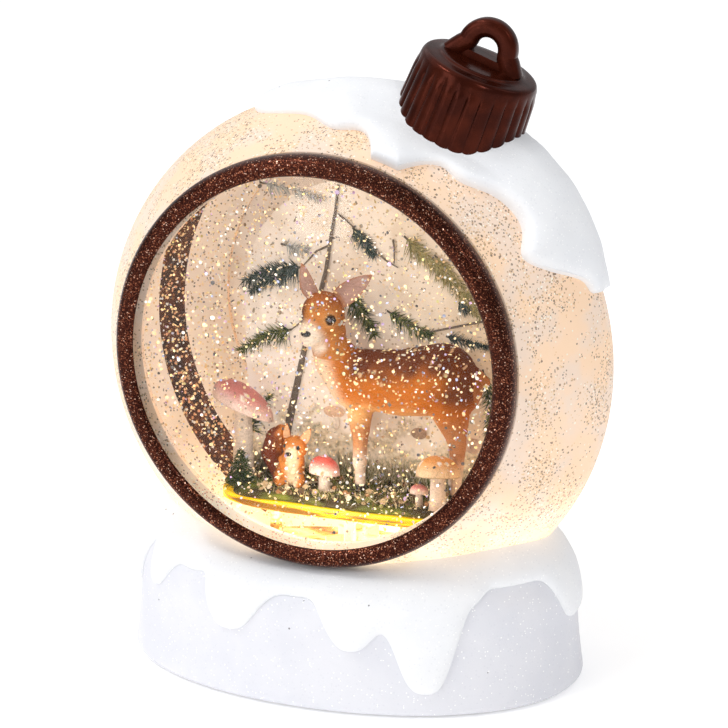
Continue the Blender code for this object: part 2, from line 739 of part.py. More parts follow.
def mushrooms():
    mushroom("mushroom_tall", "pink", -38.0, -3.0, 10.2, 8.6, 86.5, 2.7)
    mushroom("mushroom_red", "red", -7.5, -9.0, 4.8, 5.8, 68.2, 1.6)
    mushroom("mushroom_tan", "tan", 31.0, -12.5, 6.0, 6.6, 73.8, 2.3)
    mushroom("mushroom_small", "pink", 25.0, -12.0, 2.9, 2.6, 63.7, 1.1, 14)


def fir_sapling():
    """Three tiers of branches on a short trunk."""
    foot = GROUND_TOP + 0.3
    profile = [(0, foot), (0.9, foot), (0.9, 58.4), (4.2, 58.8), (1.8, 61.4), (3.3, 61.8), (1.3, 64.2)]
    profile += [(2.3, 64.6), (0, 68.2)]
    return turned("fir_sapling", profile, "needles", (-34.9, -11.0, 0), segments=12)


# ---------------------------------------------------------------- drive, lamps and power

def impeller():
    """Stirring wheel with five blades, on the pin of the tank floor."""
    profile = [(1.9, 34.3), (9.0, 34.3), (9.0, 35.6), (3.4, 36.2), (3.4, 42.4), (1.9, 42.4)]
    wheel = turned("impeller", profile, "white", segments=24, closed=True)
    blades = []
    for i in range(5):
        blade = box("blade", (2.6, -0.6, 34.9), (10.2, 0.6, 40.6), "white")
        blade.rotation_euler = (0, 0, 2 * math.pi * i / 5)
        blades.append(blade)
    return combine(wheel, merged_mesh("impeller_blades", blades, "white"), "UNION")


def magnet_rotor():
    profile = [(0, 26.2), (1.0, 26.2), (1.0, 29.1), (9.0, 29.1), (9.0, 30.6), (0, 30.6)]
    return turned("magnet_rotor", profile, "magnet", segments=24)


def motor():
    profile = [(0, BOARD_BOTTOM), (10.0, BOARD_BOTTOM), (10.0, 27.6), (9.2, 28.5), (1.4, 28.5), (1.4, 25.6)]
    profile.append((0, 25.6))
    return turned("motor", profile, "steel", segments=24)


def circuit_board():
    board = prism("circuit_board", oval(33.0, 19.0, 6.0, 24), BOARD_BOTTOM, BOARD_BOTTOM + BOARD_THICKNESS, "board")
    hole = turned("board_hole", [(0, 18), (10.8, 18), (10.8, 24), (0, 24)], "board", segments=24)
    return combine(board, hole, "DIFFERENCE")


def lamps():
    low = BOARD_BOTTOM + BOARD_THICKNESS + 0.3
    profile = [(0, low), (2.9, low), (2.9, low + 1), (2.5, low + 1), (2.5, 28.6), (1.8, 29.9), (0, 30.5)]
    for number, place in enumerate(((-24, 0), (24, 0), (0, -14.4), (0, 14.4)), 1):
        turned("lamp_%d" % number, profile, "lamp", (place[0], place[1], 0), segments=12)


def battery_tray():
    """Box open below, which holds three cells side by side."""
    tray = box("battery_tray", (-28.5, -24.2, TRAY_BOTTOM), (28.5, 24.2, TRAY_TOP), "black")
    room = box("tray_room", (-27.3, -23.0, 2.0), (27.3, 23.0, TRAY_TOP - 1.2), "black")
    return combine(tray, room, "DIFFERENCE")


def cells():
    """Three AA cells, the middle one the other way round."""
    for number, way in enumerate((1, -1, 1), 1):
        y = (number - 2) * CELL_PITCH
        half = CELL_LENGTH / 2
        profile = [(0, -half), (CELL_RADIUS - 0.4, -half), (CELL_RADIUS, -half + 0.5), (CELL_RADIUS, half - 0.5)]
        profile += [(CELL_RADIUS - 0.4, half), (2.7, half), (2.7, half + 1.0), (0, half + 1.0)]
        turned("battery_%d" % number, profile, "cell", (0, y, CELL_Z), (way, 0, 0), 20)


def contacts():
    """Sprung contact plates at the ends of the tray, with one nub for each cell."""
    for name, side in (("contact_left", -1), ("contact_right", 1)):
        outer, inner = sorted((side * 27.0, side * 26.5))
        plate = box(name, (outer, -22.4, 5.2), (inner, 22.4, 17.8), "steel")
        nubs = []
        for i in (-1, 0, 1):
            profile = [(0, -0.2), (3.0, -0.2), (1.8, 0.6), (0, 0.6)]
            place = (side * 26.5, i * CELL_PITCH, CELL_Z)
            nubs.append(turned("nub", profile, "steel", place, (-side, 0, 0), 10))
        combine(plate, merged_mesh(name + "_nubs", nubs, "steel"), "UNION")


def battery_door():
    """Cover of the battery bay, hinged along its left lower edge."""
    door_x, door_y = DOOR_HALF
    hinge = Vector((-door_x, 0, PLATE_BOTTOM))
    door = box("battery_door", (0, -door_y, 0), (2 * door_x, door_y, 1.9), "plinth")
    door.location = hinge * MM
    return door


def switch():
    body = box("switch_body", (SWITCH_X - 3.5, -7.5, TRAY_BOTTOM), (SWITCH_X + 3.5, 7.5, 10.0), "black")
    slot = box("switch_slot", (SWITCH_X - 1.6, -5.0, 2.0), (SWITCH_X + 1.6, 5.0, 7.4), "black")
    combine(body, slot, "DIFFERENCE")
    knob = box("switch_knob", (-1.2, -2.2, 0.6), (1.2, 2.2, 7.0), "white")
    knob.location = Vector((SWITCH_X, 0, 0)) * MM


def feet_and_screws():
    number = 0
    for x in (-1, 1):
        for y in (-1, 1):
            number += 1
            place = (x * FOOT_XY[0], y * FOOT_XY[1], 0)
            turned("foot_%d" % number, [(0, 0), (5.0, 0), (5.2, 1.2), (0, 1.2)], "rubber", place, segments=20)
            place = (x * BOSS_XY[0], y * BOSS_XY[1], 0)
            profile = [(0, 1.5), (2.7, 1.5), (2.7, 2.4), (1.0, 2.4), (1.0, 13.0), (0, 13.0)]
            turned("plate_screw_%d" % number, profile, "steel", place, segments=12)


def build():
    clear_scene()
    cutter = body_cutter()
    below = box("below_body", (-90, -60, -20), (90, 60, BODY_CUT_Z), "shell")
    for word, side in (("front", -1), ("rear", 1)):
        body_half("body_shell_" + word, side, below)
        window_ring("ring_" + word, side)
        window_lens("window_" + word, side)
    snow_cover(cap_room())
    cap_solid(cutter)
    cap_loop()
    neck_plug(cutter)
    snow_mantle(cutter)
    base_housing(cutter)
    bottom_plate()
    tank_floor()
    fill_plug()
    shelf()
    shelf_posts()
    ground()
    tree_panel()
    deer()
    squirrel()
    mushrooms()
    fir_sapling()
    impeller()
    magnet_rotor()
    motor()
    circuit_board()
    lamps()
    battery_tray()
    cells()
    contacts()
    battery_door()
    switch()
    feet_and_screws()


build()
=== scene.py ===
"""Looks of the lighted snow globe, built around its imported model.

The shape functions work in millimetres in the row frame, and make() turns them into metres.
"""
import math

import bmesh
import bpy
import numpy as np
from mathutils import Matrix, Vector, noise


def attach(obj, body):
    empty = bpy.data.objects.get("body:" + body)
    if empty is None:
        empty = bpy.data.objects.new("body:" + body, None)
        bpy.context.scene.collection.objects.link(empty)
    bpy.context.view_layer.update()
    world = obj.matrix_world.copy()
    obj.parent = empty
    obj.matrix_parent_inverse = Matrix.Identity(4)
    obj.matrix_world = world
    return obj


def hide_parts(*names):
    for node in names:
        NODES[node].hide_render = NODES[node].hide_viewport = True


MM = 0.001
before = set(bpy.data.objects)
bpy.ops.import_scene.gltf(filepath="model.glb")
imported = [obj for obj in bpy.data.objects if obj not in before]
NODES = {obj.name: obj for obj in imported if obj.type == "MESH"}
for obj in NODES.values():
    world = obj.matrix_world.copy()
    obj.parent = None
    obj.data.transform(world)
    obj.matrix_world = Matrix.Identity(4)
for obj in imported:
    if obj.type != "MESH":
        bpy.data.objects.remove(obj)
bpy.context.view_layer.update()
DRAW = np.random.default_rng(11)


# ---------------------------------------------------------------- materials

class Look:
    """A node material, with short calls for the nodes that feed its Principled shader."""

    def __init__(self, name, roughness=0.5, **values):
        self.material = bpy.data.materials.new(name)
        self.material.use_nodes = True
        self.nodes = self.material.node_tree.nodes
        self.links = self.material.node_tree.links
        self.shader = self.nodes["Principled BSDF"]
        self.shader.inputs["Roughness"].default_value = roughness
        for key, value in values.items():
            self.set(key.replace("_", " "), value)
        spot = self.nodes.new("ShaderNodeTexCoord")
        self.place = self.vector("MULTIPLY", spot.outputs["Object"], (1000.0, 1000.0, 1000.0))

    def feed(self, socket, value):
        if isinstance(value, bpy.types.NodeSocket):
            self.links.new(value, socket)
        elif socket.type == "RGBA":
            socket.default_value = (*value, 1.0)
        else:
            socket.default_value = value

    def set(self, name, value):
        self.feed(self.shader.inputs[name], value)

    def glow(self, colour, strength):
        self.set("Emission Color", colour)
        self.set("Emission Strength", strength)

    def drift(self, size, detail, low, high, stretch=None):
        """A value that wanders between two others."""
        return self.share(self.noise(size, detail, stretch), 0.3, 0.7, low, high)

    def worn(self, size, low, high, detail=2, stretch=None):
        """Roughness that wanders between two values."""
        self.set("Roughness", self.drift(size, detail, low, high, stretch))

    def vector(self, operation, a, b):
        node = self.nodes.new("ShaderNodeVectorMath")
        node.operation = operation
        self.feed(node.inputs[0], a)
        self.feed(node.inputs[1], b)
        return node.outputs[0]

    def maths(self, operation, a, b=0.0):
        node = self.nodes.new("ShaderNodeMath")
        node.operation = operation
        self.feed(node.inputs[0], a)
        self.feed(node.inputs[1], b)
        return node.outputs[0]

    def noise(self, size, detail=2.0, stretch=None):
        """Noise with features of a size in millimetres, drawn out along an axis by stretch."""
        node = self.nodes.new("ShaderNodeTexNoise")
        place = self.vector("MULTIPLY", self.place, stretch) if stretch else self.place
        self.feed(node.inputs["Vector"], place)
        node.inputs["Scale"].default_value = 1.0 / size
        node.inputs["Detail"].default_value = detail
        return node.outputs["Fac"]

    def cells(self, size):
        """The three random shares and the distance of cells of a size in millimetres."""
        node = self.nodes.new("ShaderNodeTexVoronoi")
        self.feed(node.inputs["Vector"], self.place)
        node.inputs["Scale"].default_value = 1.0 / size
        split = self.nodes.new("ShaderNodeSeparateColor")
        self.feed(split.inputs[0], node.outputs["Color"])
        return split.outputs[0], split.outputs[1], node.outputs["Color"], node.outputs["Distance"]

    def axis(self, name):
        node = self.nodes.new("ShaderNodeSeparateXYZ")
        self.feed(node.inputs[0], self.place)
        return node.outputs[name]

    def share(self, value, low, high, start=0.0, end=1.0):
        node = self.nodes.new("ShaderNodeMapRange")
        for key, number in zip((1, 2, 3, 4), (low, high, start, end)):
            node.inputs[key].default_value = number
        self.feed(node.inputs[0], value)
        return node.outputs[0]

    def ramp(self, value, stops, constant=False):
        node = self.nodes.new("ShaderNodeValToRGB")
        band = node.color_ramp
        band.interpolation = "CONSTANT" if constant else "EASE"
        while len(band.elements) < len(stops):
            band.elements.new(0.5)
        for element, (position, colour) in zip(band.elements, stops):
            element.position = position
            element.color = (*colour, 1.0)
        self.feed(node.inputs[0], value)
        return node.outputs[0]

    def mix(self, share, a, b, blend="MIX"):
        node = self.nodes.new("ShaderNodeMix")
        node.data_type = "RGBA"
        node.blend_type = blend
        self.feed(node.inputs[0], share)
        self.feed(node.inputs[6], a)
        self.feed(node.inputs[7], b)
        return node.outputs[2]

    def specks(self, size, density, radius):
        """Where round specks lie, and a random share for each one."""
        red, green, _, distance = self.cells(size)
        there = self.maths("LESS_THAN", red, density)
        inside = self.maths("LESS_THAN", distance, radius)
        return self.maths("MULTIPLY", there, inside), green

    def bump(self, height, distance, strength=1.0, under=None):
        """Adds a bump of a height in millimetres over any earlier one."""
        node = self.nodes.new("ShaderNodeBump")
        node.inputs["Distance"].default_value = distance * MM
        node.inputs["Strength"].default_value = strength
        self.feed(node.inputs["Height"], height)
        if under is not None:
            self.feed(node.inputs["Normal"], under)
        self.feed(self.shader.inputs["Normal"], node.outputs[0])
        return node.outputs[0]

    def paint(self):
        node = self.nodes.new("ShaderNodeAttribute")
        node.attribute_name = "paint"
        return node.outputs["Color"]

    def through_shadow(self):
        """Lets lamps shine through the clear material, so that what is behind it is lit."""
        path = self.nodes.new("ShaderNodeLightPath")
        clear = self.nodes.new("ShaderNodeBsdfTransparent")
        both = self.nodes.new("ShaderNodeMixShader")
        self.feed(both.inputs[0], path.outputs["Is Shadow Ray"])
        self.links.new(self.shader.outputs[0], both.inputs[1])
        self.links.new(clear.outputs[0], both.inputs[2])
        self.links.new(both.outputs[0], self.nodes["Material Output"].inputs[0])
        return self


def shell_look():
    """Translucent cream plastic with gold and brown specks in drifts, glowing near the lamps."""
    look = Look("shell_cream", 0.5)
    tone = look.ramp(look.noise(13, 3), [(0.36, (0.84, 0.66, 0.53)), (0.62, (0.92, 0.655, 0.45))])
    drift = look.share(look.noise(12, 4), 0.40, 0.62, 0.06, 0.55)
    brown = [(0.0, (0.10, 0.06, 0.035)), (0.3, (0.42, 0.25, 0.12))]
    brown += [(0.6, (0.75, 0.50, 0.24)), (0.85, (0.95, 0.9, 0.8))]
    for size, radius in ((0.62, 0.46), (1.05, 0.36)):
        mask, kind = look.specks(size, drift, radius)
        tone = look.mix(look.maths("MULTIPLY", mask, 0.75), tone, look.ramp(kind, brown, True))
    look.set("Base Color", tone)
    height = look.axis("Z")
    glow = look.maths("MULTIPLY", look.share(height, 38, 72, 0.75, 0.10), look.drift(16, 2, 0.8, 1.2))
    look.glow(look.mix(look.share(height, 40, 84), (1.0, 0.88, 0.64), tone), glow)
    look.worn(0.8, 0.4, 0.62)
    look.bump(look.noise(0.45, 2), 0.05, 0.5)
    return look.material


def pale_lining_look():
    """Cream inside of the body, flecked and lit from below."""
    look = Look("lining_cream", 0.55)
    tone = look.ramp(look.noise(14, 3), [(0.35, (0.84, 0.755, 0.70)), (0.65, (0.90, 0.80, 0.70))])
    mask, kind = look.specks(0.9, 0.34, 0.40)
    fleck = [(0.0, (0.06, 0.05, 0.05)), (0.3, (0.45, 0.30, 0.15))]
    fleck += [(0.6, (0.85, 0.65, 0.35)), (0.9, (0.45, 0.45, 0.70))]
    tone = look.mix(look.maths("MULTIPLY", mask, 0.8), tone, look.ramp(kind, fleck, True))
    look.set("Base Color", tone)
    look.glow(look.mix(0.5, tone, (1.0, 0.88, 0.70)), look.share(look.axis("Z"), 38, 64, 0.28, 0.09))
    look.bump(look.noise(0.6, 2), 0.05, 0.5)
    return look.material


def painted_refraction_look():
    """Painted refraction: a dark brown glitter band round the rear window, standing in for the rear ring
    as the water would bend it into view.
    """
    look = Look("painted_ring_refraction", 0.45)
    tone = look.ramp(look.noise(5, 3), [(0.35, (0.030, 0.014, 0.016)), (0.65, (0.105, 0.034, 0.020))])
    mask, kind = look.specks(1.1, look.share(look.noise(7, 2), 0.3, 0.65, 0.3, 0.75), 0.46)
    flake = [(0.0, (0.30, 0.13, 0.06)), (0.35, (0.80, 0.45, 0.26))]
    flake += [(0.7, (0.95, 0.72, 0.42)), (0.9, (0.8, 0.85, 0.9))]
    look.set("Base Color", look.mix(mask, tone, look.ramp(kind, flake, True)))
    look.bump(look.noise(0.8, 2), 0.08)
    return look.material


def clear_look(name, tint, roughness):
    """Clear plastic with faint smears and ripples."""
    look = Look(name, roughness, Transmission_Weight=1.0, IOR=1.18)
    look.set("Base Color", tint)
    smear = look.share(look.noise(9, 3), 0.4, 0.75, roughness, roughness + 0.03)
    look.set("Roughness", smear)
    look.bump(look.noise(14, 1), 0.04, 0.3)
    return look.through_shadow().material


def ring_look():
    """Dark brown enamel packed with copper glitter."""
    look = Look("glitter_brown", 0.30, Metallic=0.9, Specular_IOR_Level=0.2)
    red, green, colour, _ = look.cells(0.27)
    dark = [(0.0, (0.022, 0.006, 0.004)), (0.40, (0.046, 0.012, 0.007)), (0.68, (0.095, 0.025, 0.013))]
    dark += [(0.86, (0.21, 0.060, 0.030)), (0.955, (0.50, 0.19, 0.10)), (0.988, (0.95, 0.60, 0.44))]
    tone = look.ramp(red, dark, True)
    look.set("Base Color", look.mix(look.drift(7, 3, 0.0, 0.35), tone, (0.035, 0.009, 0.006)))
    # Painted glints: rare cells glow copper, standing in for lamp light caught by the glitter.
    look.glow((1.0, 0.55, 0.38), look.maths("MULTIPLY", look.maths("GREATER_THAN", green, 0.985), 0.35))
    geometry = look.nodes.new("ShaderNodeNewGeometry")
    tilt = look.vector("MULTIPLY", look.vector("SUBTRACT", colour, (0.5, 0.5, 0.5)), (0.12, 0.12, 0.12))
    facet = look.nodes.new("ShaderNodeVectorMath")
    facet.operation = "NORMALIZE"
    look.feed(facet.inputs[0], look.vector("ADD", geometry.outputs["Normal"], tilt))
    look.set("Normal", facet.outputs[0])
    return look.material


def snow_look(name, pale, shade, grain):
    """White sanded coat: grain, soft drifts, fine sparkle and a few stray dark specks."""
    look = Look(name, 0.75)
    tone = look.ramp(look.noise(18, 3), [(0.3, shade), (0.65, pale)])
    sparkle, _ = look.specks(0.55, 0.05, 0.4)
    tone = look.mix(sparkle, tone, (1.0, 1.0, 1.0))
    # Painted shade: tiny pits in the coat, darkened slightly toward cool grey.
    pit_shade, _ = look.specks(0.7, 0.10, 0.45)
    tone = look.mix(look.maths("MULTIPLY", pit_shade, 0.10), tone, (0.45, 0.47, 0.55))
    strays, _ = look.specks(4.2, 0.17, 0.075)
    tone = look.mix(look.maths("MULTIPLY", strays, 0.85), tone, (0.16, 0.14, 0.16))
    look.set("Base Color", tone)
    look.worn(0.6, 0.55, 0.9)
    soft = look.bump(look.noise(5.0, 3), 0.5, 0.35)
    look.bump(look.noise(0.5, 2), grain, 0.6, soft)
    return look.material


def cap_look():
    """Glossy chocolate plastic with the faint ripple of a moulding."""
    look = Look("chocolate_gloss", 0.24, Metallic=0.55, Specular_IOR_Level=0.12)
    tone = look.ramp(look.noise(6, 3), [(0.3, (0.034, 0.0050, 0.0020)), (0.7, (0.060, 0.0095, 0.0035))])
    look.set("Base Color", tone)
    look.worn(2.2, 0.16, 0.3, 3)
    look.bump(look.noise(2.6, 2), 0.05, 0.5)
    return look.material


def acrylic_look():
    """Edge-lit shelf: bright yellow with wavy amber streaks."""
    look = Look("lit_acrylic", 0.12)
    streak = look.noise(4.0, 3, (0.12, 0.3, 1.6))
    amber = [(0.38, (0.22, 0.10, 0.01)), (0.46, (0.80, 0.42, 0.006))]
    tone = look.ramp(streak, amber + [(0.54, (1.0, 0.68, 0.01)), (0.7, (1.0, 0.86, 0.10))])
    look.set("Base Color", tone)
    look.set("Emission Color", tone)
    edge = look.share(look.axis("Z"), 51.2, 54.2, 1.15, 0.7)
    look.set("Emission Strength", look.maths("MULTIPLY", edge, look.drift(7, 2, 0.35, 0.9)))
    look.bump(streak, 0.15, 0.4)
    return look.material


def post_look():
    """Clear posts full of warm light, and gold broken reflections over the tank floor."""
    look = Look("lit_post", 0.15)
    drawn = look.noise(3, 2, (1, 1, 0.3))
    tone = look.ramp(drawn, [(0.3, (0.95, 0.72, 0.42)), (0.6, (1.0, 0.92, 0.74))])
    broken = look.noise(3.0, 3, (0.3, 0.6, 1.0))
    gold = [(0.34, (0.20, 0.10, 0.04)), (0.44, (0.52, 0.30, 0.09))]
    gold += [(0.54, (0.90, 0.72, 0.44)), (0.7, (0.95, 0.90, 0.80))]
    low = look.share(look.axis("Z"), 41.5, 44.0, 1.0, 0.0)
    tone = look.mix(low, tone, look.ramp(broken, gold))
    look.set("Base Color", tone)
    look.glow(tone, look.share(look.axis("Z"), 40, 46, 0.12, 0.45))
    return look.material


def panel_look():
    """Half-clear sheet printed with a pale peach mist, flecks and a soft hedge low down."""
    look = Look("mist_print", 0.4, Alpha=0.88)
    side = look.share(look.axis("X"), -45, 40)
    tone = look.mix(side, (0.88, 0.81, 0.75), (0.80, 0.64, 0.46))
    mottle = look.ramp(look.noise(9, 4), [(0.32, (0.90, 0.86, 0.80)), (0.6, (1.0, 1.0, 1.0))])
    tone = look.mix(1.0, tone, mottle, "MULTIPLY")
    growth = look.maths("ADD", look.axis("Z"), look.drift(6, 4, 12.0, -12.0))
    leaf = [(0.34, (0.16, 0.14, 0.06)), (0.5, (0.54, 0.40, 0.22)), (0.66, (0.74, 0.64, 0.46))]
    hedge = look.ramp(look.noise(1.6, 4), leaf)
    by_panel = look.share(look.axis("Y"), 14, 18, 1.0, 0.0)
    low = look.share(growth, 66, 74, 0.75, 0.0)
    tone = look.mix(look.maths("MULTIPLY", low, by_panel), tone, hedge)
    mask, kind = look.specks(1.0, 0.30, 0.36)
    fleck = [(0.0, (0.10, 0.08, 0.07)), (0.35, (0.45, 0.30, 0.16))]
    fleck += [(0.6, (0.85, 0.62, 0.35)), (0.88, (0.40, 0.40, 0.62))]
    tone = look.mix(look.maths("MULTIPLY", mask, 0.75), tone, look.ramp(kind, fleck, True))
    look.set("Base Color", tone)
    # Painted glow, stronger low down: the sheet gives off light of its own, standing in for lamp light
    # passing through it.
    look.glow(tone, look.share(look.axis("Z"), 55, 120, 0.38, 0.12))
    look.bump(look.noise(3, 2), 0.04)
    return look.material


def painted_look(name, roughness=0.55, grain=0.35, stretch=None, glow=0.0):
    """Hand-painted resin whose colours the mesh carries, broken up by fine grain."""
    look = Look(name, roughness)
    grey = [(0.3, (0.72, 0.70, 0.68)), (0.62, (1.0, 1.0, 1.0))]
    tone = look.mix(0.8, look.paint(), look.ramp(look.noise(grain, 3, stretch), grey), "MULTIPLY")
    look.set("Base Color", tone)
    # Painted glow: with a glow set, the paint gives off light of its own colour, as the printed foliage
    # does.
    if glow:
        look.glow(tone, glow)
    look.worn(1.4, roughness - 0.1, roughness + 0.12)
    look.set("Specular IOR Level", 0.2)
    look.bump(look.noise(grain, 2, stretch), 0.12, 0.6)
    return look.material


def flake_look(name, glow):
    """Glitter flakes whose colours the mesh carries, with a painted glow of the given strength."""
    look = Look(name, 0.28, Metallic=0.55)
    tone = look.mix(look.drift(0.7, 1, 0.0, 0.25), look.paint(), (1.0, 1.0, 1.0))
    look.set("Base Color", tone)
    look.glow(tone, glow)
    return look.material


def plain_look(name, dark, light, size=2.0, roughness=0.5, bump=0.04, stretch=None, **values):
    """Moulded or plated stock with mottling, uneven gloss and grain."""
    look = Look(name, roughness, **values)
    look.set("Base Color", look.ramp(look.noise(size, 3, stretch), [(0.3, dark), (0.7, light)]))
    look.worn(size * 0.6, roughness * 0.75, roughness * 1.2, 2, stretch)
    look.bump(look.noise(size * 0.3, 2, stretch), bump, 0.6)
    return look.material


def board_look():
    """Green board with slanting tracks and pads."""
    look = Look("board_green", 0.35)
    red, green, _, distance = look.cells(4.2)
    across = look.maths("ADD", look.axis("X"), look.axis("Y"))
    track = look.maths("LESS_THAN", look.maths("PINGPONG", across, 1.3), 0.28)
    tone = look.mix(look.maths("MULTIPLY", track, 0.6), (0.012, 0.14, 0.05), (0.06, 0.36, 0.14))
    inside = look.maths("LESS_THAN", distance, 0.16)
    pad = look.maths("MULTIPLY", inside, look.maths("LESS_THAN", red, 0.4))
    tone = look.mix(pad, tone, look.mix(green, (0.7, 0.7, 0.68), (0.85, 0.66, 0.3)))
    look.set("Base Color", tone)
    look.bump(track, 0.05)
    return look.material


def cell_look():
    """Printed sleeve: dark with a copper end and bare rims."""
    look = Look("cell_sleeve", 0.3, Coat_Weight=0.3)
    along = look.axis("X")
    ends = look.maths("GREATER_THAN", look.maths("ABSOLUTE", along), 23.6)
    copper = look.maths("GREATER_THAN", along, 11.0)
    scuff = look.share(look.noise(1.5, 4, (0.3, 1, 1)), 0.55, 0.75, 0.0, 0.35)
    tone = look.mix(copper, (0.022, 0.024, 0.03), (0.62, 0.28, 0.12))
    look.set("Base Color", look.mix(look.maths("MAXIMUM", ends, scuff), tone, (0.6, 0.6, 0.62)))
    look.set("Metallic", look.maths("MULTIPLY", ends, 0.9))
    look.bump(look.noise(0.9, 2), 0.03)
    return look.material


def lamp_look():
    """Warm lens, brightest at its tip."""
    look = Look("lamp_lens", 0.15)
    amber = [(0.3, (1.0, 0.78, 0.38)), (0.7, (1.0, 0.9, 0.62))]
    look.set("Base Color", look.ramp(look.noise(1.2, 2), amber))
    look.glow((1.0, 0.74, 0.36), look.share(look.axis("Z"), 22, 30, 1.0, 6.0))
    return look.material


# ---------------------------------------------------------------- mesh helpers

def paint(mesh, colours):
    """Stores a colour at every vertex, for Look.paint to read."""
    layer = mesh.color_attributes.new("paint", "FLOAT_COLOR", "POINT")
    rgba = np.ones((len(mesh.vertices), 4), np.float32)
    rgba[:, :3] = colours
    layer.data.foreach_set("color", rgba.ravel())


def make(name, points, faces, material, replaces=(), body="globe", sharp=50.0, colours=None,
         merge=True):
    """A piece from points in millimetres, riding on a body and standing for CAD nodes."""
    mesh = bpy.data.meshes.new(name)
    mesh.from_pydata((np.asarray(points, float) * MM).tolist(), [], faces)
    if colours is not None:
        paint(mesh, colours)
    shape = bmesh.new()
    shape.from_mesh(mesh)
    if merge:
        bmesh.ops.remove_doubles(shape, verts=shape.verts, dist=2e-6)
    bmesh.ops.recalc_face_normals(shape, faces=shape.faces)
    shape.to_mesh(mesh)
    shape.free()
    return finish(name, mesh, material, replaces, body, sharp)


def finish(name, mesh, material, replaces=(), body="globe", sharp=50.0):
    mesh.shade_smooth()
    mesh.set_sharp_from_angle(angle=math.radians(sharp))
    for one in material if isinstance(material, (list, tuple)) else [material]:
        mesh.materials.append(one)
    piece = bpy.data.objects.new(name, mesh)
    bpy.context.scene.collection.objects.link(piece)
    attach(piece, body)
    if replaces:
        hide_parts(*replaces)
    return piece


def make_skin(name, points, material, replaces, sharp, colours=None, closed=False):
    """A piece over a grid of points, with both ends capped unless its rows close on themselves."""
    faces = grid_faces(*points.shape[:2], closed, True, not closed)
    flat = points.reshape(-1, 3)
    return make(name, flat, faces, material, replaces, sharp=sharp, colours=colours)


def make_joined(name, parts, material, replaces=(), sharp=30.0):
    """A painted piece from several (points, faces, colour) parts."""
    points, faces, colours = joined(parts)
    return make(name, points, faces, material, replaces, sharp=sharp, colours=colours, merge=False)


def grid_faces(rows, columns, wrap_rows, wrap_columns, cap=False):
    """Quads over a grid of points stored row by row."""
    faces = []
    for i in range(rows if wrap_rows else rows - 1):
        low, high = i * columns, (i + 1) % rows * columns
        for j in range(columns if wrap_columns else columns - 1):
            k = (j + 1) % columns
            faces.append((low + j, low + k, high + k, high + j))
    if cap:
        faces.append(tuple(range(columns)))
        faces.append(tuple(range((rows - 1) * columns, rows * columns)))
    return faces


def softened(corners, reach, steps=4):
    """A polyline whose inner corners are rounded over a reach, in as many numbers as each point has."""
    corners = [np.array(c, float) for c in corners]
    line = [corners[0]]
    for before, corner, after in zip(corners, corners[1:], corners[2:]):
        back = before - corner
        ahead = after - corner
        start = corner + back * min(0.45, reach / max(np.linalg.norm(back), 1e-6))
        end = corner + ahead * min(0.45, reach / max(np.linalg.norm(ahead), 1e-6))
        for t in np.linspace(0, 1, steps):
            line.append((1 - t) ** 2 * start + 2 * t * (1 - t) * corner + t * t * end)
    return np.array(line + [corners[-1]])


def lathe(profile, centre, axis, segments, closed):
    """Points and faces of a profile of (radius, height) turned about an axis through a centre."""
    turns = np.linspace(0, 2 * math.pi, segments, endpoint=False)
    profile = np.asarray(profile, float)
    flat = np.stack([np.outer(profile[:, 0], np.cos(turns)), np.outer(profile[:, 0], np.sin(turns))], -1)
    height = np.repeat(profile[:, 1:2], segments, 1)[..., None]
    points = np.concatenate([flat, height], -1).reshape(-1, 3)
    turn = np.array(Vector((0, 0, 1)).rotation_difference(Vector(axis)).to_matrix())
    return points @ turn.T + np.array(centre, float), grid_faces(len(profile), segments, closed, True)


def tube(path, radii, sides=8, flat=1.0):
    """A tapered tube along a path; flat squeezes it along Y."""
    path = [Vector(p) for p in path]
    rings = []
    for k, point in enumerate(path):
        along = (path[min(k + 1, len(path) - 1)] - path[max(k - 1, 0)]).normalized()
        side = along.cross(Vector((0, 1, 0)))
        side = side.normalized() if side.length > 1e-4 else Vector((1, 0, 0))
        up = side.cross(along).normalized()
        for i in range(sides):
            turn = 2 * math.pi * i / sides
            offset = side * math.cos(turn) + up * math.sin(turn)
            offset.y *= flat
            rings.append(tuple(point + offset * radii[k]))
    return np.array(rings), grid_faces(len(path), sides, False, True, True)


def joined(parts):
    """One list of points, faces and colours from several (points, faces, colour) parts."""
    points, faces, colours, start = [], [], [], 0
    for some, some_faces, colour in parts:
        some = np.asarray(some, float)
        points.append(some)
        faces += [tuple(i + start for i in f) for f in some_faces]
        colour = np.asarray(colour, float)
        colours.append(np.broadcast_to(colour, (len(some), 3)))
        start += len(some)
    return np.concatenate(points), faces, np.concatenate(colours)


def needles(bases, tips, width, colours):
    """Thin three-sided spikes from bases to tips."""
    bases, tips = np.asarray(bases, float), np.asarray(tips, float)
    along = tips - bases
    along /= np.linalg.norm(along, axis=1, keepdims=True) + 1e-9
    side = np.cross(along, DRAW.normal(size=bases.shape))
    side /= np.linalg.norm(side, axis=1, keepdims=True) + 1e-9
    up = np.cross(along, side)
    width = np.broadcast_to(np.asarray(width, float), (len(bases),))[:, None]
    corners = [bases + width * (side * math.cos(t) + up * math.sin(t)) for t in (0, 2.094, 4.189)]
    points = np.stack(corners + [tips], 1).reshape(-1, 3)
    faces = []
    for i in range(0, 4 * len(bases), 4):
        faces += [(i, i + 1, i + 3), (i + 1, i + 2, i + 3), (i + 2, i, i + 3), (i + 2, i + 1, i)]
    colours = np.repeat(np.broadcast_to(np.asarray(colours, float), (len(bases), 3)), 4, 0)
    return points, faces, colours


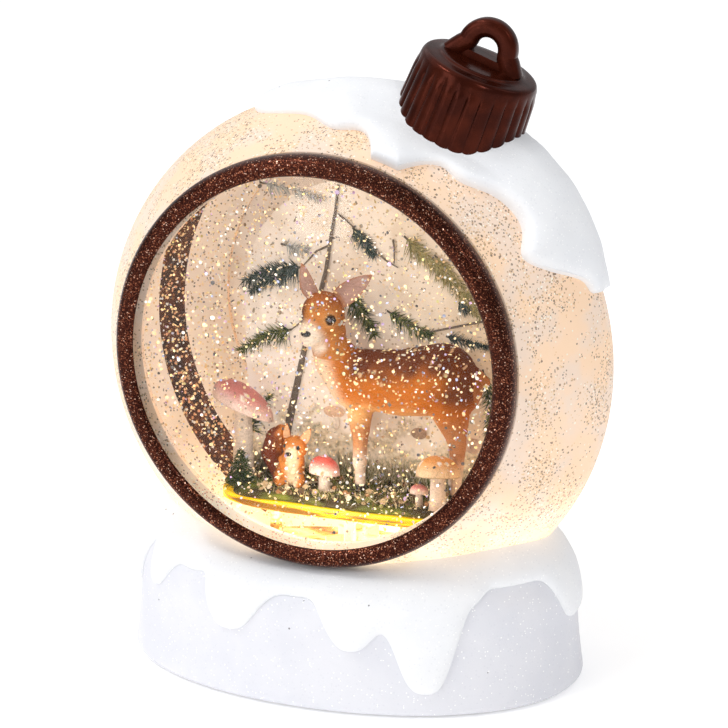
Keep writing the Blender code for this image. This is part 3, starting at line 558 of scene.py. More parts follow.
def organic(limbs, voxel, blur):
    """A mesh fused from tapered limbs, each (start, start radius, end, end radius)."""
    shape = bmesh.new()
    for start, radius_a, end, radius_b in limbs:
        first, last = Vector(start), Vector(end)
        steps = max(2, int((last - first).length / (0.22 * min(radius_a, radius_b))) + 1)
        for k in range(steps):
            f = k / (steps - 1)
            ball = Matrix.Translation(first.lerp(last, f) * MM)
            radius = (radius_a + (radius_b - radius_a) * f) * MM
            bmesh.ops.create_icosphere(shape, subdivisions=3, radius=radius, matrix=ball)
    mesh = bpy.data.meshes.new("limbs")
    shape.to_mesh(mesh)
    shape.free()
    holder = bpy.data.objects.new("limbs", mesh)
    bpy.context.scene.collection.objects.link(holder)
    fuse = holder.modifiers.new("fuse", "REMESH")
    fuse.mode = "VOXEL"
    fuse.voxel_size = voxel * MM
    smooth = holder.modifiers.new("smooth", "SMOOTH")
    smooth.factor = 0.5
    smooth.iterations = blur
    graph = bpy.context.evaluated_depsgraph_get()
    baked = bpy.data.meshes.new_from_object(holder.evaluated_get(graph), depsgraph=graph)
    bpy.data.objects.remove(holder)
    return baked


def vertex_array(mesh):
    values = np.zeros(len(mesh.vertices) * 3, np.float32)
    mesh.vertices.foreach_get("co", values)
    return values.reshape(-1, 3).astype(float)


def squircle(turn, power):
    """Cosine and sine of a superellipse."""
    return [np.sign(part) * np.abs(part) ** (2 / power) for part in (np.cos(turn), np.sin(turn))]


def picked(palette, count):
    """Random colours from a palette."""
    return np.array(palette)[DRAW.integers(0, len(palette), count)]


def blend(a, b, share):
    """Moves colours towards another by an eased share for each vertex."""
    share = np.clip(share, 0, 1)[:, None]
    share = share * share * (3 - 2 * share)
    return a * (1 - share) + np.asarray(b, float) * share


def coated(colours, *coats):
    """Colours with coats of (tone, share for each vertex) laid over them in turn."""
    for tone, share in coats:
        colours = blend(colours, tone, share)
    return colours


def step(values, low, high):
    """0 below low, 1 above high and straight between."""
    return np.clip((values - low) / (high - low), 0, 1)


# ---------------------------------------------------------------- the bauble's body

DRUM_RADIUS, RIM_RADIUS, RIM_Y, FACE_Y = 82.0, 64.5, 32.5, 34.0
DRUM_HEIGHT, WINDOW_HEIGHT = 100.1, 106.6
WALL, BODY_CUT_Z, WINDOW_OPENING = 2.4, 34.0, 57.5


def drum_radius(y):
    return DRUM_RADIUS - (DRUM_RADIUS - RIM_RADIUS) * (np.abs(y) / RIM_Y) ** 1.6


def drum_slope(y):
    return 1.6 * (DRUM_RADIUS - RIM_RADIUS) / RIM_Y * (np.abs(y) / RIM_Y) ** 0.6


def drum_height(y):
    return DRUM_HEIGHT + (WINDOW_HEIGHT - DRUM_HEIGHT) * (np.minimum(np.abs(y), RIM_Y) / RIM_Y) ** 1.8


def drum_points(angle, y, lift):
    """Points over the drum at angles clockwise from the top; lift is along the surface's normal."""
    lean = np.arctan(drum_slope(y))
    radius = drum_radius(y) + lift * np.cos(lean)
    turn = np.radians(angle)
    across = y + np.sign(y) * lift * np.sin(lean)
    return np.stack([radius * np.sin(turn), across, drum_height(y) + radius * np.cos(turn)], -1)


def inside_body(points, grow):
    """Whether points lie in the body's outside shape, grown by a distance."""
    y = np.abs(points[..., 1])
    reach = np.hypot(points[..., 0], points[..., 2] - drum_height(y))
    return (y < FACE_Y + grow) & (reach < drum_radius(np.minimum(y, RIM_Y)) + grow)


def body_half(word, side, looks):
    """Half of the hollow body, cut off level inside the base, with a painted refraction on the rear
    lining: a dark band where the water would show the rear ring.
    """
    segments = 224
    turns = np.linspace(0, 2 * math.pi, segments, endpoint=False)
    rows = [(drum_radius(y), y, drum_height(y)) for y in np.linspace(0.04, RIM_Y, 26)]
    rows += [(64.3, 33.4, 106.4), (63.9, FACE_Y, WINDOW_HEIGHT), (WINDOW_OPENING, FACE_Y, WINDOW_HEIGHT)]
    rows += [(WINDOW_OPENING, FACE_Y - 2.0, WINDOW_HEIGHT)]
    first_inner = len(rows)
    for y in (31.0, 29.0, 26.2, 23.4, 20.6, 18.0, 15.2, 12.0, 8.0, 4.0, 0.04):
        wall = WALL * math.hypot(1.0, drum_slope(y))
        rows.append((drum_radius(y) - wall, y, drum_height(y)))
    points = [(r * math.sin(t), side * y, h + r * math.cos(t)) for r, y, h in rows for t in turns]
    mesh = bpy.data.meshes.new("body_" + word)
    mesh.from_pydata((np.array(points) * MM).tolist(), [], grid_faces(len(rows), segments, True, True))
    # Rows of the rear lining that carry the painted refraction of the rear ring.
    dark_rows = range(first_inner + 3, first_inner + 6)

    def above_ground(spot):
        return spot.z > 54 * MM or spot.x < -38 * MM

    for i, face in enumerate(mesh.polygons):
        row = i // segments
        banded = side > 0 and row in dark_rows and above_ground(face.center)
        face.material_index = 0 if row < first_inner - 1 else 2 if banded else 1
    shape = bmesh.new()
    shape.from_mesh(mesh)
    parts = shape.verts[:] + shape.edges[:] + shape.faces[:]
    cut = bmesh.ops.bisect_plane(
        shape, geom=parts, plane_co=(0, 0, BODY_CUT_Z * MM), plane_no=(0, 0, -1), clear_outer=True
    )
    rim = [e for e in cut["geom_cut"] if isinstance(e, bmesh.types.BMEdge)]
    bmesh.ops.triangle_fill(shape, use_beauty=True, edges=rim)
    bmesh.ops.recalc_face_normals(shape, faces=shape.faces)
    shape.to_mesh(mesh)
    shape.free()
    return finish("bauble_" + word, mesh, looks, ["body_shell_" + word], sharp=40)


def window_ring(word, side, look):
    """Round glitter bead with a rabbet behind it for the window's flange."""
    corners = [(63.4, 34.3), (64.0, 35.6), (64.0, 38.6), (62.9, 40.9), (60.9, 41.65), (58.8, 41.5)]
    corners += [(57.6, 40.4), (57.9, 39.4), (60.2, 37.5), (61.3, 36.8), (61.3, 34.5)]
    profile = softened(corners, 1.6, 6)
    points, faces = lathe(profile, (0, 0, WINDOW_HEIGHT), (0, side, 0), 320, True)
    return make("glitter_ring_" + word, points, faces, look, ["ring_" + word], sharp=60)


def window_dome(word, side, look):
    """Shallow clear dome with a flange that the ring holds."""
    back, thick, rise = FACE_Y + 0.4, 1.6, 3.6

    def dome(radius, base):
        return base + rise * (1.0 - (radius / 56.8) ** 2)

    radii = np.linspace(55.4, 0.0, 14)
    profile = [(r, dome(r, back)) for r in radii[::-1]]
    profile += [(56.8, back), (60.9, back), (60.9, back + thick), (56.8, back + thick)]
    profile += [(r, dome(r, back + thick)) for r in radii]
    points, faces = lathe(profile, (0, 0, WINDOW_HEIGHT), (0, side, 0), 160, False)
    return make("dome_" + word, points, faces, look, ["window_" + word], sharp=40)


# ---------------------------------------------------------------- snow over the top

SNOW_START, SNOW_END = -23.0, 71.0
FRONT_LOBES = (
    (1.5, 6.5, 6.0),
    (18.5, 7.5, 18.0),
    (34.5, 6.0, 5.0),
    (58.5, 5.5, 8.0),
    (67.5, 3.0, -4.5),
)
REAR_LOBES = ((6.0, 6.0, 10.0), (34.0, 6.0, 13.0), (57.0, 6.0, 6.0))


def snow_edge(angle, lobes):
    """How far the snow reaches from the top line, at angles clockwise from the top."""
    middle = (SNOW_START + SNOW_END) / 2
    share = np.abs(angle - middle) / (SNOW_END - middle)
    reach = 18.0 * np.maximum(0.0, 1.0 - share ** 3) ** (1 / 3)
    for centre, width, depth in lobes:
        reach = reach + depth * np.exp(-((angle - centre) / width) ** 2)
    return np.clip(reach, 0.6, 31.8)


def edge_distance(points, border):
    """How far each point is from the nearest point of a border, in batches to save memory."""
    flat = points.reshape(-1, 3)
    found = []
    for start in range(0, len(flat), 4000):
        away = flat[start:start + 4000, None, :] - border[None, :, :]
        found.append(np.sqrt((away ** 2).sum(-1)).min(1))
    return np.concatenate(found).reshape(points.shape[:-1])


def rounded_edge(distance, width):
    """Height of a quarter-round edge, from 0 to 1 over its width."""
    return np.sqrt(np.maximum(0.0, 1.0 - (1.0 - np.clip(distance / width, 0, 1)) ** 2))


def ripple(points, size, amount):
    """Smooth random swell at points in millimetres."""
    flat = points.reshape(-1, 3) / size
    return np.array([noise.noise(Vector(p)) for p in flat]).reshape(points.shape[:-1]) * amount


def top_snow(look):
    """Thick snow with hanging lobes over the top, pressed down round the cap."""
    angle = np.linspace(SNOW_START, SNOW_END, 260)[:, None]
    across = np.sin(np.linspace(-math.pi / 2, math.pi / 2, 64))[None, :]
    front, rear = snow_edge(angle, FRONT_LOBES), snow_edge(angle, REAR_LOBES)
    y = (rear - front) / 2 + (rear + front) / 2 * across
    bare = drum_points(angle + 0 * y, y, 0 * y)
    border = np.concatenate([bare[:, 0], bare[:, -1], bare[0], bare[-1]])
    depth = 3.6 + 4.2 * np.exp(-((angle - 36.0) / 24.0) ** 2)
    away = edge_distance(bare, border)
    lift = 0.2 + (depth - 0.2) * (0.42 * rounded_edge(away, 2.6) + 0.58 * rounded_edge(away, 11.0))
    lift = lift + ripple(bare, 8.0, 0.5) * rounded_edge(away, 6.0)
    aside = bare - np.array(CAP_CENTRE)
    tilt = math.radians(CAP_TILT)
    beside = np.hypot(aside[..., 0] * math.cos(tilt) - aside[..., 2] * math.sin(tilt), aside[..., 1])
    lift = lift * (1.0 - 0.6 * (1.0 - step(beside, 19.0, 33.0)) * step(np.abs(y), 4.0, 16.0))
    over = drum_points(angle + 0 * y, y, lift)
    under = drum_points(angle + 0 * y, y, 0 * y - 0.1)[:, ::-1]
    return make_skin("top_snow", np.concatenate([over, under], 1), look, ["snow_cover_top"], 80)


# ---------------------------------------------------------------- the base and its snow

BASE_A, BASE_B, BASE_POWER = 71.0, 48.3, 2.07
SHOULDER_Z, SHOULDER_INSET, SHOULDER_ARC = 26.0, 18.0, 24.0
SIDE_TOP, FRONT_TOP, DRIP_LINE = 49.1, 40.4, 39.4
DRIPS = (
    (-140.0, 13.0, 6.0, 6.0),
    (-126.0, 4.5, 8.0, 8.0),
    (-111.0, 18.5, 6.5, 9.8),
    (-93.0, 5.2, 10.5, 9.5),
    (-78.0, 19.0, 6.8, 8.0),
    (-59.0, 31.0, 9.0, 9.5),
    (-45.0, 4.0, 4.5, 4.5),
    (2.0, 16.0, 14.0, 11.0),
    (32.0, 10.0, 8.0, 8.0),
    (58.0, 25.0, 8.0, 9.0),
    (80.0, 14.0, 7.0, 7.0),
    (103.0, 28.0, 9.0, 8.0),
    (128.0, 12.0, 8.0, 8.0),
    (155.0, 19.0, 9.0, 9.0),
    (-176.0, 11.0, 8.0, 8.0),
    (-160.0, 17.0, 7.0, 7.0),
)


def snow_low_edge(degrees):
    """Height of the snow's low edge, with the corners between drips worn round."""
    height = 0.0
    for shift in (-2.4, -1.2, 0.0, 1.2, 2.4):
        turned = degrees + shift
        line = DRIP_LINE + 0.8 * np.sin(np.radians(2 * turned - 20))
        for centre, depth, left, right in DRIPS:
            away = (turned - centre + 180) % 360 - 180
            line = line - depth * np.exp(-np.abs(away / np.where(away < 0, left, right)) ** 4)
        height = height + line / 5
    return height


def base_top(turn):
    """Height at which the shoulder runs level, lower in front and behind than at the sides."""
    return SIDE_TOP + (FRONT_TOP - SIDE_TOP) * np.sin(turn) ** 2


def base_points(turn, climb, lift):
    """Points of the base's surface: climb goes up the wall, over the shoulder and inwards."""
    turn, climb, lift = np.broadcast_arrays(turn, climb, lift)
    top = base_top(turn)
    over = climb - SHOULDER_Z
    lean = np.clip(over / SHOULDER_ARC, 0, 1) * math.pi / 2
    flare = -2.4 * np.maximum(0.0, 1 - np.minimum(climb, 24.0) / 24.0) ** 1.5
    inset = flare + SHOULDER_INSET * (1 - np.cos(lean)) + np.maximum(0.0, over - SHOULDER_ARC)
    height = np.where(over <= 0, climb, SHOULDER_Z + (top - SHOULDER_Z) * np.sin(lean))
    inset = inset - lift * np.cos(lean)
    height = height + lift * np.sin(lean)
    across, deep = squircle(turn, BASE_POWER)
    return np.stack([(BASE_A - inset) * across, (BASE_B - inset) * deep, height], -1)


def climb_of_height(turn, height):
    """The climb at which the base's surface reaches a height."""
    share = np.clip((height - SHOULDER_Z) / (base_top(turn) - SHOULDER_Z), 0, 1)
    over = SHOULDER_Z + SHOULDER_ARC * np.arcsin(share) / (math.pi / 2)
    return np.where(height <= SHOULDER_Z, height, over)


def climb_limit(turn, lift, grow):
    """The climb at which the base's surface runs into the body, for each turn."""
    climbs = np.arange(36.0, 58.0, 0.2)[:, None]
    hit = inside_body(base_points(turn[None, :], climbs, lift), grow)
    first = np.where(hit.any(0), hit.argmax(0), len(climbs) - 1)
    return climbs[first, 0]


def snow_skirt(look):
    """Skin of snow over the base's shoulder, with thick rounded drips down the wall."""
    turn = np.linspace(-math.pi, math.pi, 1100, endpoint=False)
    low = climb_of_height(turn, snow_low_edge(np.degrees(turn)))
    top = np.maximum(climb_limit(turn, 1.9, -0.9), low + 1.0)
    near = np.array([0.0, 0.15, 0.4, 0.8, 1.3, 2.0, 2.9, 4.0])[:, None]
    far = np.linspace(0, 1, 30)[1:, None]
    start = np.minimum(4.0, 0.5 * (top - low))
    climbs = np.concatenate([low + near / 4.0 * start, low + start + (top - low - start) * far])
    bare = base_points(turn[None, :], climbs, 0.0)
    away = np.full(bare.shape[:2], 1e9)
    for shift in range(-40, 41):
        away = np.minimum(away, np.linalg.norm(bare - np.roll(bare[0], shift, 0)[None], axis=-1))
    lift = 0.05 + 1.15 * rounded_edge(away, 3.2) + 1.2 * rounded_edge(away, 11.0)
    lift = lift + ripple(bare, 9.0, 0.35) * rounded_edge(away, 8.0)
    over = base_points(turn[None, :], climbs, lift)
    under = base_points(turn[None, :], climbs[::-1], 0.05)
    points = np.concatenate([over, under])
    return make_skin("snow_skirt", points, look, ["snow_mantle"], 80, closed=True)


def plinth(look):
    """Hollow plinth with a turned-in foot edge and four screw bosses."""
    turn = np.linspace(0, 2 * math.pi, 400, endpoint=False)
    rows = [(1.0, -1.3), (1.15, -0.7), (1.6, -0.25), (2.4, -0.04)]
    rows += [(c, 0.0) for c in np.linspace(3.2, 54, 40)]
    rows += [(c, -2.4) for c in np.linspace(53.4, 1.0, 24)]
    outer_limit, inner_limit = climb_limit(turn, 0.0, 0.4), climb_limit(turn, -2.4, 0.4)
    rings = []
    for climb, lift in rows:
        limit = inner_limit if lift < -2 else outer_limit
        rings.append(base_points(turn, np.minimum(climb, limit), lift))
    points = np.array(rings)
    parts = [(points.reshape(-1, 3), grid_faces(len(rows), len(turn), True, True), (1, 1, 1))]
    boss = [(1.3, 3.9), (3.6, 3.9), (3.6, 38.6), (0, 38.6), (0, 15.9), (1.3, 15.9)]
    for x in (-56, 56):
        for y in (-19, 19):
            parts.append((*lathe(boss, (x, y, 0), (0, 0, 1), 24, True), (1, 1, 1)))
    points, faces, _ = joined(parts)
    return make("plinth", points, faces, look, ["base_housing"], sharp=50)


# ---------------------------------------------------------------- ornament cap and loop

CAP_CENTRE, CAP_TILT, CAP_RIBS = (32.0, 0.0, 173.5), 21.0, 28


def on_cap(points):
    """Points of the cap's own frame, tilted and moved into place."""
    turn = np.array(Matrix.Rotation(math.radians(CAP_TILT), 3, "Y"))
    return np.asarray(points, float) @ turn.T + np.array(CAP_CENTRE)


def fluted_cap(look):
    """Hollow cap with rounded flutes that run out over the shoulder."""
    corners = [(17.4, -4.3, 0), (19.6, -4.3, 0.3), (20.0, -3.3, 0.6), (18.8, 15.0, 1), (18.5, 17.4, 0.3)]
    corners += [(18.3, 19.6, 0), (17.4, 21.1, 0), (13.6, 21.5, 0), (12.8, 22.2, 0), (0.01, 22.3, 0)]
    corners += [(0.01, 17.2, 0), (16.2, 17.2, 0), (17.4, -4.1, 0)]
    profile = softened(corners, 1.0, 6)
    turn = np.linspace(0, 2 * math.pi, CAP_RIBS * 12, endpoint=False)
    flute = np.abs(np.sin(CAP_RIBS * turn / 2)) ** 0.6 * 0.8 - 0.5
    radius = profile[:, :1] + profile[:, 2:3] * flute[None, :]
    saddle = 1.7 * np.clip(-profile[:, 1:2] / 4.3, 0, 1) * np.sin(turn) ** 2
    points = np.stack([radius * np.cos(turn), radius * np.sin(turn), profile[:, 1:2] - saddle], -1)
    return make_skin("fluted_cap", on_cap(points), look, ["ornament_cap"], 65, closed=True)


def hanging_loop(look):
    """Arch with a flat-faced rounded section and feet that spread over the cap."""
    path = [(-9.9, 21.2, 3.4, 3.2), (-8.9, 22.9, 3.25, 3.0), (-7.7, 24.8, 3.1, 2.9)]
    for turn in np.linspace(math.pi, 0, 40):
        path.append((6.4 * math.cos(turn), 26.5 + 6.4 * math.sin(turn), 2.95, 2.8))
    path += [(7.7, 24.8, 3.1, 2.9), (8.9, 22.9, 3.25, 3.0), (9.9, 21.2, 3.4, 3.2)]
    sides = 28
    rings = []
    for k, (u, w, half, deep) in enumerate(path):
        before, after = path[max(0, k - 1)], path[min(len(path) - 1, k + 1)]
        along = Vector((after[0] - before[0], 0, after[1] - before[1])).normalized()
        across = along.cross(Vector((0, 1, 0)))
        for i in range(sides):
            turn = 2 * math.pi * i / sides
            c, s = math.cos(turn), math.sin(turn)
            a = half * math.copysign(abs(c) ** 0.62, c)
            b = deep * math.copysign(abs(s) ** 0.62, s)
            rings.append((u + across.x * a, b, w + across.z * a))
    web = [(-6.6, -2.6, 21.9), (6.6, -2.6, 21.9), (5.6, -2.3, 24.4), (-5.6, -2.3, 24.4)]
    back = [(x, -y, z) for x, y, z in web]
    box = [(0, 1, 2, 3), (7, 6, 5, 4), (0, 4, 5, 1), (3, 2, 6, 7), (1, 5, 6, 2), (0, 3, 7, 4)]
    arch = grid_faces(len(path), sides, False, True, True)
    parts = [(rings, arch, (1, 1, 1)), (web + back, box, (1, 1, 1))]
    points, faces, _ = joined(parts)
    return make("hanging_loop", on_cap(points), faces, look, ["cap_loop"], sharp=60, merge=False)


# ---------------------------------------------------------------- woodland scene

SHELF_TOP, GROUND_TOP, PANEL_FACE_Y = 54.2, 57.0, 9.2


def shelf_slab(look):
    """Clear slab with eased edges."""
    turn = np.linspace(0, 2 * math.pi, 200, endpoint=False)[None, :]
    rows = [(0.02, 0.0), (0.6, 0.0), (0.975, 0.0), (1.0, 0.5)]
    rows = np.array(rows + [(1.0, 2.4), (0.985, 2.9), (0.6, 2.9), (0.02, 2.9)])
    across, deep = squircle(turn, 3.4)
    x, y = 43.0 * rows[:, :1] * across, 18.8 * rows[:, :1] * deep
    points = np.stack([x, y, SHELF_TOP - 3.0 + rows[:, 1:] + 0 * x], -1)
    return make_skin("shelf_slab", points, look, ["scene_shelf"], 40)


def forest_floor(look):
    """Mossy mound with lumps, in greens and earth browns."""
    turn = np.linspace(0, 2 * math.pi, 220, endpoint=False)[None, :]
    rows = [(1.0, 0.3), (1.01, 0.8), (1.0, 1.3), (0.96, 1.9), (0.9, 2.2)]
    rows += [(s, 2.2 + 0.6 * (1 - s / 0.9)) for s in np.linspace(0.84, 0.02, 22)]
    share, height = np.array(rows)[:, :1], np.array(rows)[:, 1:]
    wave = 1 + 0.05 * np.sin(5 * turn) + 0.03 * np.cos(9 * turn + 1)
    across, deep = squircle(turn, 2.8)
    x, y = 43.5 * share * wave * across, 18.2 * share * wave * deep
    points = np.stack([x, y, SHELF_TOP + height + 0 * x], -1)
    lump = ripple(points, 2.2, 0.7) + ripple(points, 6.0, 0.8)
    points[..., 2] += lump * np.clip(height - 0.4, 0, 1)
    tone = ripple(points, 4.5, 1.0) * 0.9 + 0.5
    fine = ripple(points, 1.3, 0.5)
    colours = coated(
        np.tile((0.065, 0.042, 0.018), (tone.size, 1)),
        ((0.15, 0.16, 0.03), (tone + fine).ravel()),
        ((0.22, 0.24, 0.03), step((tone - fine).ravel(), 0.75, 1.1)),
    )
    return make_skin("forest_floor", points, look, ["moss_ground"], 70, colours)


def on_ground(count, reach=0.95):
    """Random spots on the mossy mound."""
    spots = []
    while len(spots) < count:
        x, y = DRAW.uniform(-43, 43), DRAW.uniform(-17.5, 9.0)
        if (abs(x) / 43) ** 2.8 + (abs(y) / 17.6) ** 2.8 < reach:
            spots.append((x, y, GROUND_TOP - 0.5))
    return np.array(spots)


GRASS = ((0.10, 0.12, 0.025), (0.24, 0.23, 0.06), (0.20, 0.12, 0.05))
GRASS += ((0.62, 0.50, 0.24), (0.04, 0.05, 0.018), (0.8, 0.68, 0.44))
STRAW = ((0.72, 0.62, 0.40), (0.50, 0.45, 0.24), (0.85, 0.74, 0.54), (0.30, 0.28, 0.13))
LITTER = ((0.45, 0.22, 0.09), (0.68, 0.48, 0.26), (0.14, 0.08, 0.04))
LITTER += ((0.85, 0.72, 0.52), (0.26, 0.25, 0.07))
BLADE_COUNT, TUFT_COUNT, LEAF_COUNT = 1500, 240, 260
TUFTS = ((-3.0, 6.5, 9.5, 7.0), (12.0, 6.8, 8.0, 9.0), (26.0, 7.0, 7.5, 7.0), (-33.0, 4.0, 7.5, 6.0))


def undergrowth(look):
    """Grass, fallen needles and low shrubs over the mound."""
    spots = on_ground(BLADE_COUNT)
    lean = DRAW.normal(0, 0.5, (len(spots), 3))
    lean[:, 2] = 1.0
    near_back = step(spots[:, 1], -4, 8)
    length = DRAW.uniform(0.8, 2.4, len(spots)) + near_back * DRAW.uniform(0, 5.0, len(spots))
    tips = spots + lean * length[:, None]
    tips[:, 1] = np.minimum(tips[:, 1], PANEL_FACE_Y)
    colours = picked(GRASS, len(spots))
    parts = [needles(spots, tips, DRAW.uniform(0.12, 0.3, len(spots)), colours)]
    count = TUFT_COUNT
    for x, y, height, spread in TUFTS:
        along = DRAW.normal(x, spread * 0.45, count)
        base = np.stack([along, np.full(count, y), np.full(count, GROUND_TOP)], -1)
        lean = [DRAW.normal(0, 2.2, count), DRAW.normal(0, 0.8, count)]
        tip = base + np.stack(lean + [DRAW.uniform(0.35, 1.0, count) * height], -1)
        tip[:, 1] = np.minimum(tip[:, 1], PANEL_FACE_Y)
        parts.append(needles(base, tip, 0.28, picked(STRAW, count)))
    leaves = on_ground(LEAF_COUNT)
    leaves[:, 2] += DRAW.uniform(0.2, 1.4, len(leaves))
    ways = DRAW.normal(0, 0.5, leaves.shape) + (0, -0.4, 1)
    sizes = DRAW.uniform(0.5, 1.25, len(leaves))
    parts.append(flake_solids(leaves, ways, sizes, picked(LITTER, len(leaves))))
    return make_joined("undergrowth", parts, look)


PRINT_Y, SPRIG_Y_MIN, SPRIG_Y_MAX = 8.8, 7.6, 9.3


def sprig_parts(path, length, count, palette, thick=0.35):
    """A twig with needles that sweep forward from it on both sides."""
    path = np.array(path, float)
    run = np.linspace(0, 1, len(path))
    at = DRAW.uniform(0.05, 1.0, count)
    bases = np.stack([np.interp(at, run, path[:, k]) for k in range(3)], -1)
    ahead = path[-1] - path[0]
    ahead /= np.linalg.norm(ahead)
    side = np.array([-ahead[2], 0, ahead[0]]) * DRAW.choice((-1.0, 1.0), count)[:, None]
    spread = DRAW.uniform(0.35, 1.0, count)[:, None]
    way = ahead * (1.25 - spread) + side * spread
    way = way + np.array([0, 1, 0]) * DRAW.normal(0, 0.2, count)[:, None]
    way[:, 2] -= 0.25
    tips = bases + way * (length * DRAW.uniform(0.5, 1.1, count) * (1.15 - 0.6 * at))[:, None]
    tips[:, 1] = np.clip(tips[:, 1], SPRIG_Y_MIN, SPRIG_Y_MAX)
    colours = picked(palette, count) * DRAW.uniform(0.7, 1.25, (count, 1))
    twig = tube([tuple(p) for p in path], np.linspace(thick, thick * 0.4, len(path)), 6, 0.5)
    return [(*twig, (0.10, 0.075, 0.05)), needles(bases, tips, 0.26, colours)]


def printed_trees(look):
    """Leaning trunks, twigs and pine sprigs that stand just off the printed panel."""
    y = PRINT_Y
    slate = [(0.035, 0.06, 0.05), (0.06, 0.085, 0.085), (0.10, 0.12, 0.10), (0.025, 0.035, 0.03)]
    green = [(0.06, 0.085, 0.03), (0.10, 0.13, 0.04), (0.03, 0.05, 0.025), (0.22, 0.22, 0.07)]
    olive = [(0.30, 0.26, 0.10), (0.38, 0.31, 0.13), (0.22, 0.20, 0.08), (0.45, 0.36, 0.18)]
    pale = [(0.42, 0.42, 0.40), (0.52, 0.50, 0.46), (0.33, 0.34, 0.32)]
    sprigs = [
        (((-22.0, 122.8), (-31.0, 121.6), (-42.0, 116.4)), 6.0, 230, slate),
        (((-27.0, 119.8), (-34.0, 117.6), (-39.5, 113.4)), 4.5, 120, slate),
        (((-25.5, 102.3), (-34.0, 99.8), (-43.5, 93.6)), 5.5, 210, green),
        (((-5.0, 137.2), (-1.0, 133.6), (2.2, 129.2)), 4.6, 170, slate),
        (((6.5, 111.6), (16.0, 106.6), (21.0, 105.8)), 5.0, 170, green),
        (((26.0, 105.4), (33.0, 104.3), (40.5, 103.6)), 3.6, 130, slate),
        (((-6.5, 116.5), (-2.0, 110.5), (2.5, 103.5)), 6.0, 230, green),
        (((-36.0, 149.0), (-25.0, 147.6), (-14.0, 145.4)), 4.0, 150, pale),
        (((-29.0, 129.8), (-24.0, 128.9), (-19.5, 128.8)), 4.2, 90, pale),
        (((12.0, 136.0), (24.0, 126.4), (35.0, 115.6)), 5.6, 330, olive),
        (((22.0, 131.0), (31.0, 122.0), (37.0, 112.0)), 4.4, 170, olive),
        (((30.0, 116.6), (34.5, 114.0)), 3.4, 70, slate),
        (((38.0, 96.0), (41.0, 84.0), (40.0, 74.0)), 4.5, 190, green),
        (((-40.0, 66.0), (-37.0, 74.0), (-33.0, 80.0)), 4.5, 120, green),
    ]
    parts = []
    for path, length, count, palette in sprigs:
        parts += sprig_parts([(x, y, z) for x, z in path], length, count, palette)
    bark = (0.16, 0.125, 0.095)
    trunk = [(-9.6, 150.6), (-10.6, 142.0), (-11.8, 135.6), (-13.8, 122.6)]
    trunk += [(-17.0, 110.5), (-21.3, 95.8), (-26.6, 71.4), (-29.0, 60.0)]
    girth = (0.45, 0.5, 0.55, 0.7, 0.8, 0.95, 1.3, 1.5)
    parts.append((*tube([(x, y, z) for x, z in trunk], girth, 10, 0.45), bark))
    twigs = (
        ((-9.8, 141.0), (-7.5, 139.6), (-4.1, 136.9)),
        ((2.5, 130.5), (6.5, 127.4), (10.1, 125.8)),
        ((8.4, 134.6), (8.9, 131.8), (8.8, 127.0)),
        ((-12.2, 131.0), (-17.0, 128.5), (-22.0, 122.8)),
        ((-15.5, 115.0), (-20.0, 107.0), (-25.5, 102.3)),
        ((40.0, 112.0), (20.0, 106.0), (6.5, 111.6)),
    )
    for twig in twigs:
        parts.append((*tube([(x, y, z) for x, z in twig], (0.4, 0.32, 0.2), 6, 0.5), bark))
    parts.append(ball_parts((17.2, 8.9, 72.8), 2.2, (0.46, 0.30, 0.19), (1.2, 0.2, 0.85)))
    parts.append(ball_parts((35.3, 8.9, 70.8), 3.2, (0.84, 0.64, 0.50), (1.2, 0.15, 0.8)))
    parts.append(ball_parts((-11.2, 8.9, 76.8), 3.0, (0.78, 0.52, 0.34), (1.2, 0.15, 0.65)))
    parts.append(ball_parts((-10.4, 8.9, 73.6), 1.3, (0.85, 0.70, 0.55), (0.9, 0.3, 2.0)))
    return make_joined("printed_trees", parts, look, sharp=35)


def sapling(look):
    """Small fir with whorls of drooping needled branches."""
    x, y, foot, top = -34.9, -11.0, GROUND_TOP - 0.4, 67.6
    stem = tube([(x, y, foot), (x, y, 62.0), (x, y, top)], (0.6, 0.4, 0.12), 7)
    parts = [(*stem, (0.09, 0.06, 0.035))]
    bases, tips = [], []
    for level in np.linspace(0.06, 0.97, 15):
        z = foot + (top - foot) * level
        reach = 4.6 * (1 - level) ** 0.8 + 0.35
        for k in range(9):
            turn = 2 * math.pi * k / 9 + level * 7
            end = np.array([x + reach * math.cos(turn), y + reach * math.sin(turn), z - reach * 0.22])
            root = np.array([x, y, z])
            for _ in range(max(3, int(reach * 3))):
                at = root + (end - root) * DRAW.uniform(0.15, 1.0)
                bases.append(at)
                way = (end - root) / reach * 0.7 + DRAW.normal(0, 0.55, 3)
                tips.append(at + way * 1.25)
    colours = picked([(0.02, 0.045, 0.015), (0.045, 0.085, 0.025), (0.09, 0.12, 0.035)], len(bases))
    parts.append(needles(bases, tips, 0.16, colours))
    return make_joined("sapling", parts, look, ["fir_sapling"])


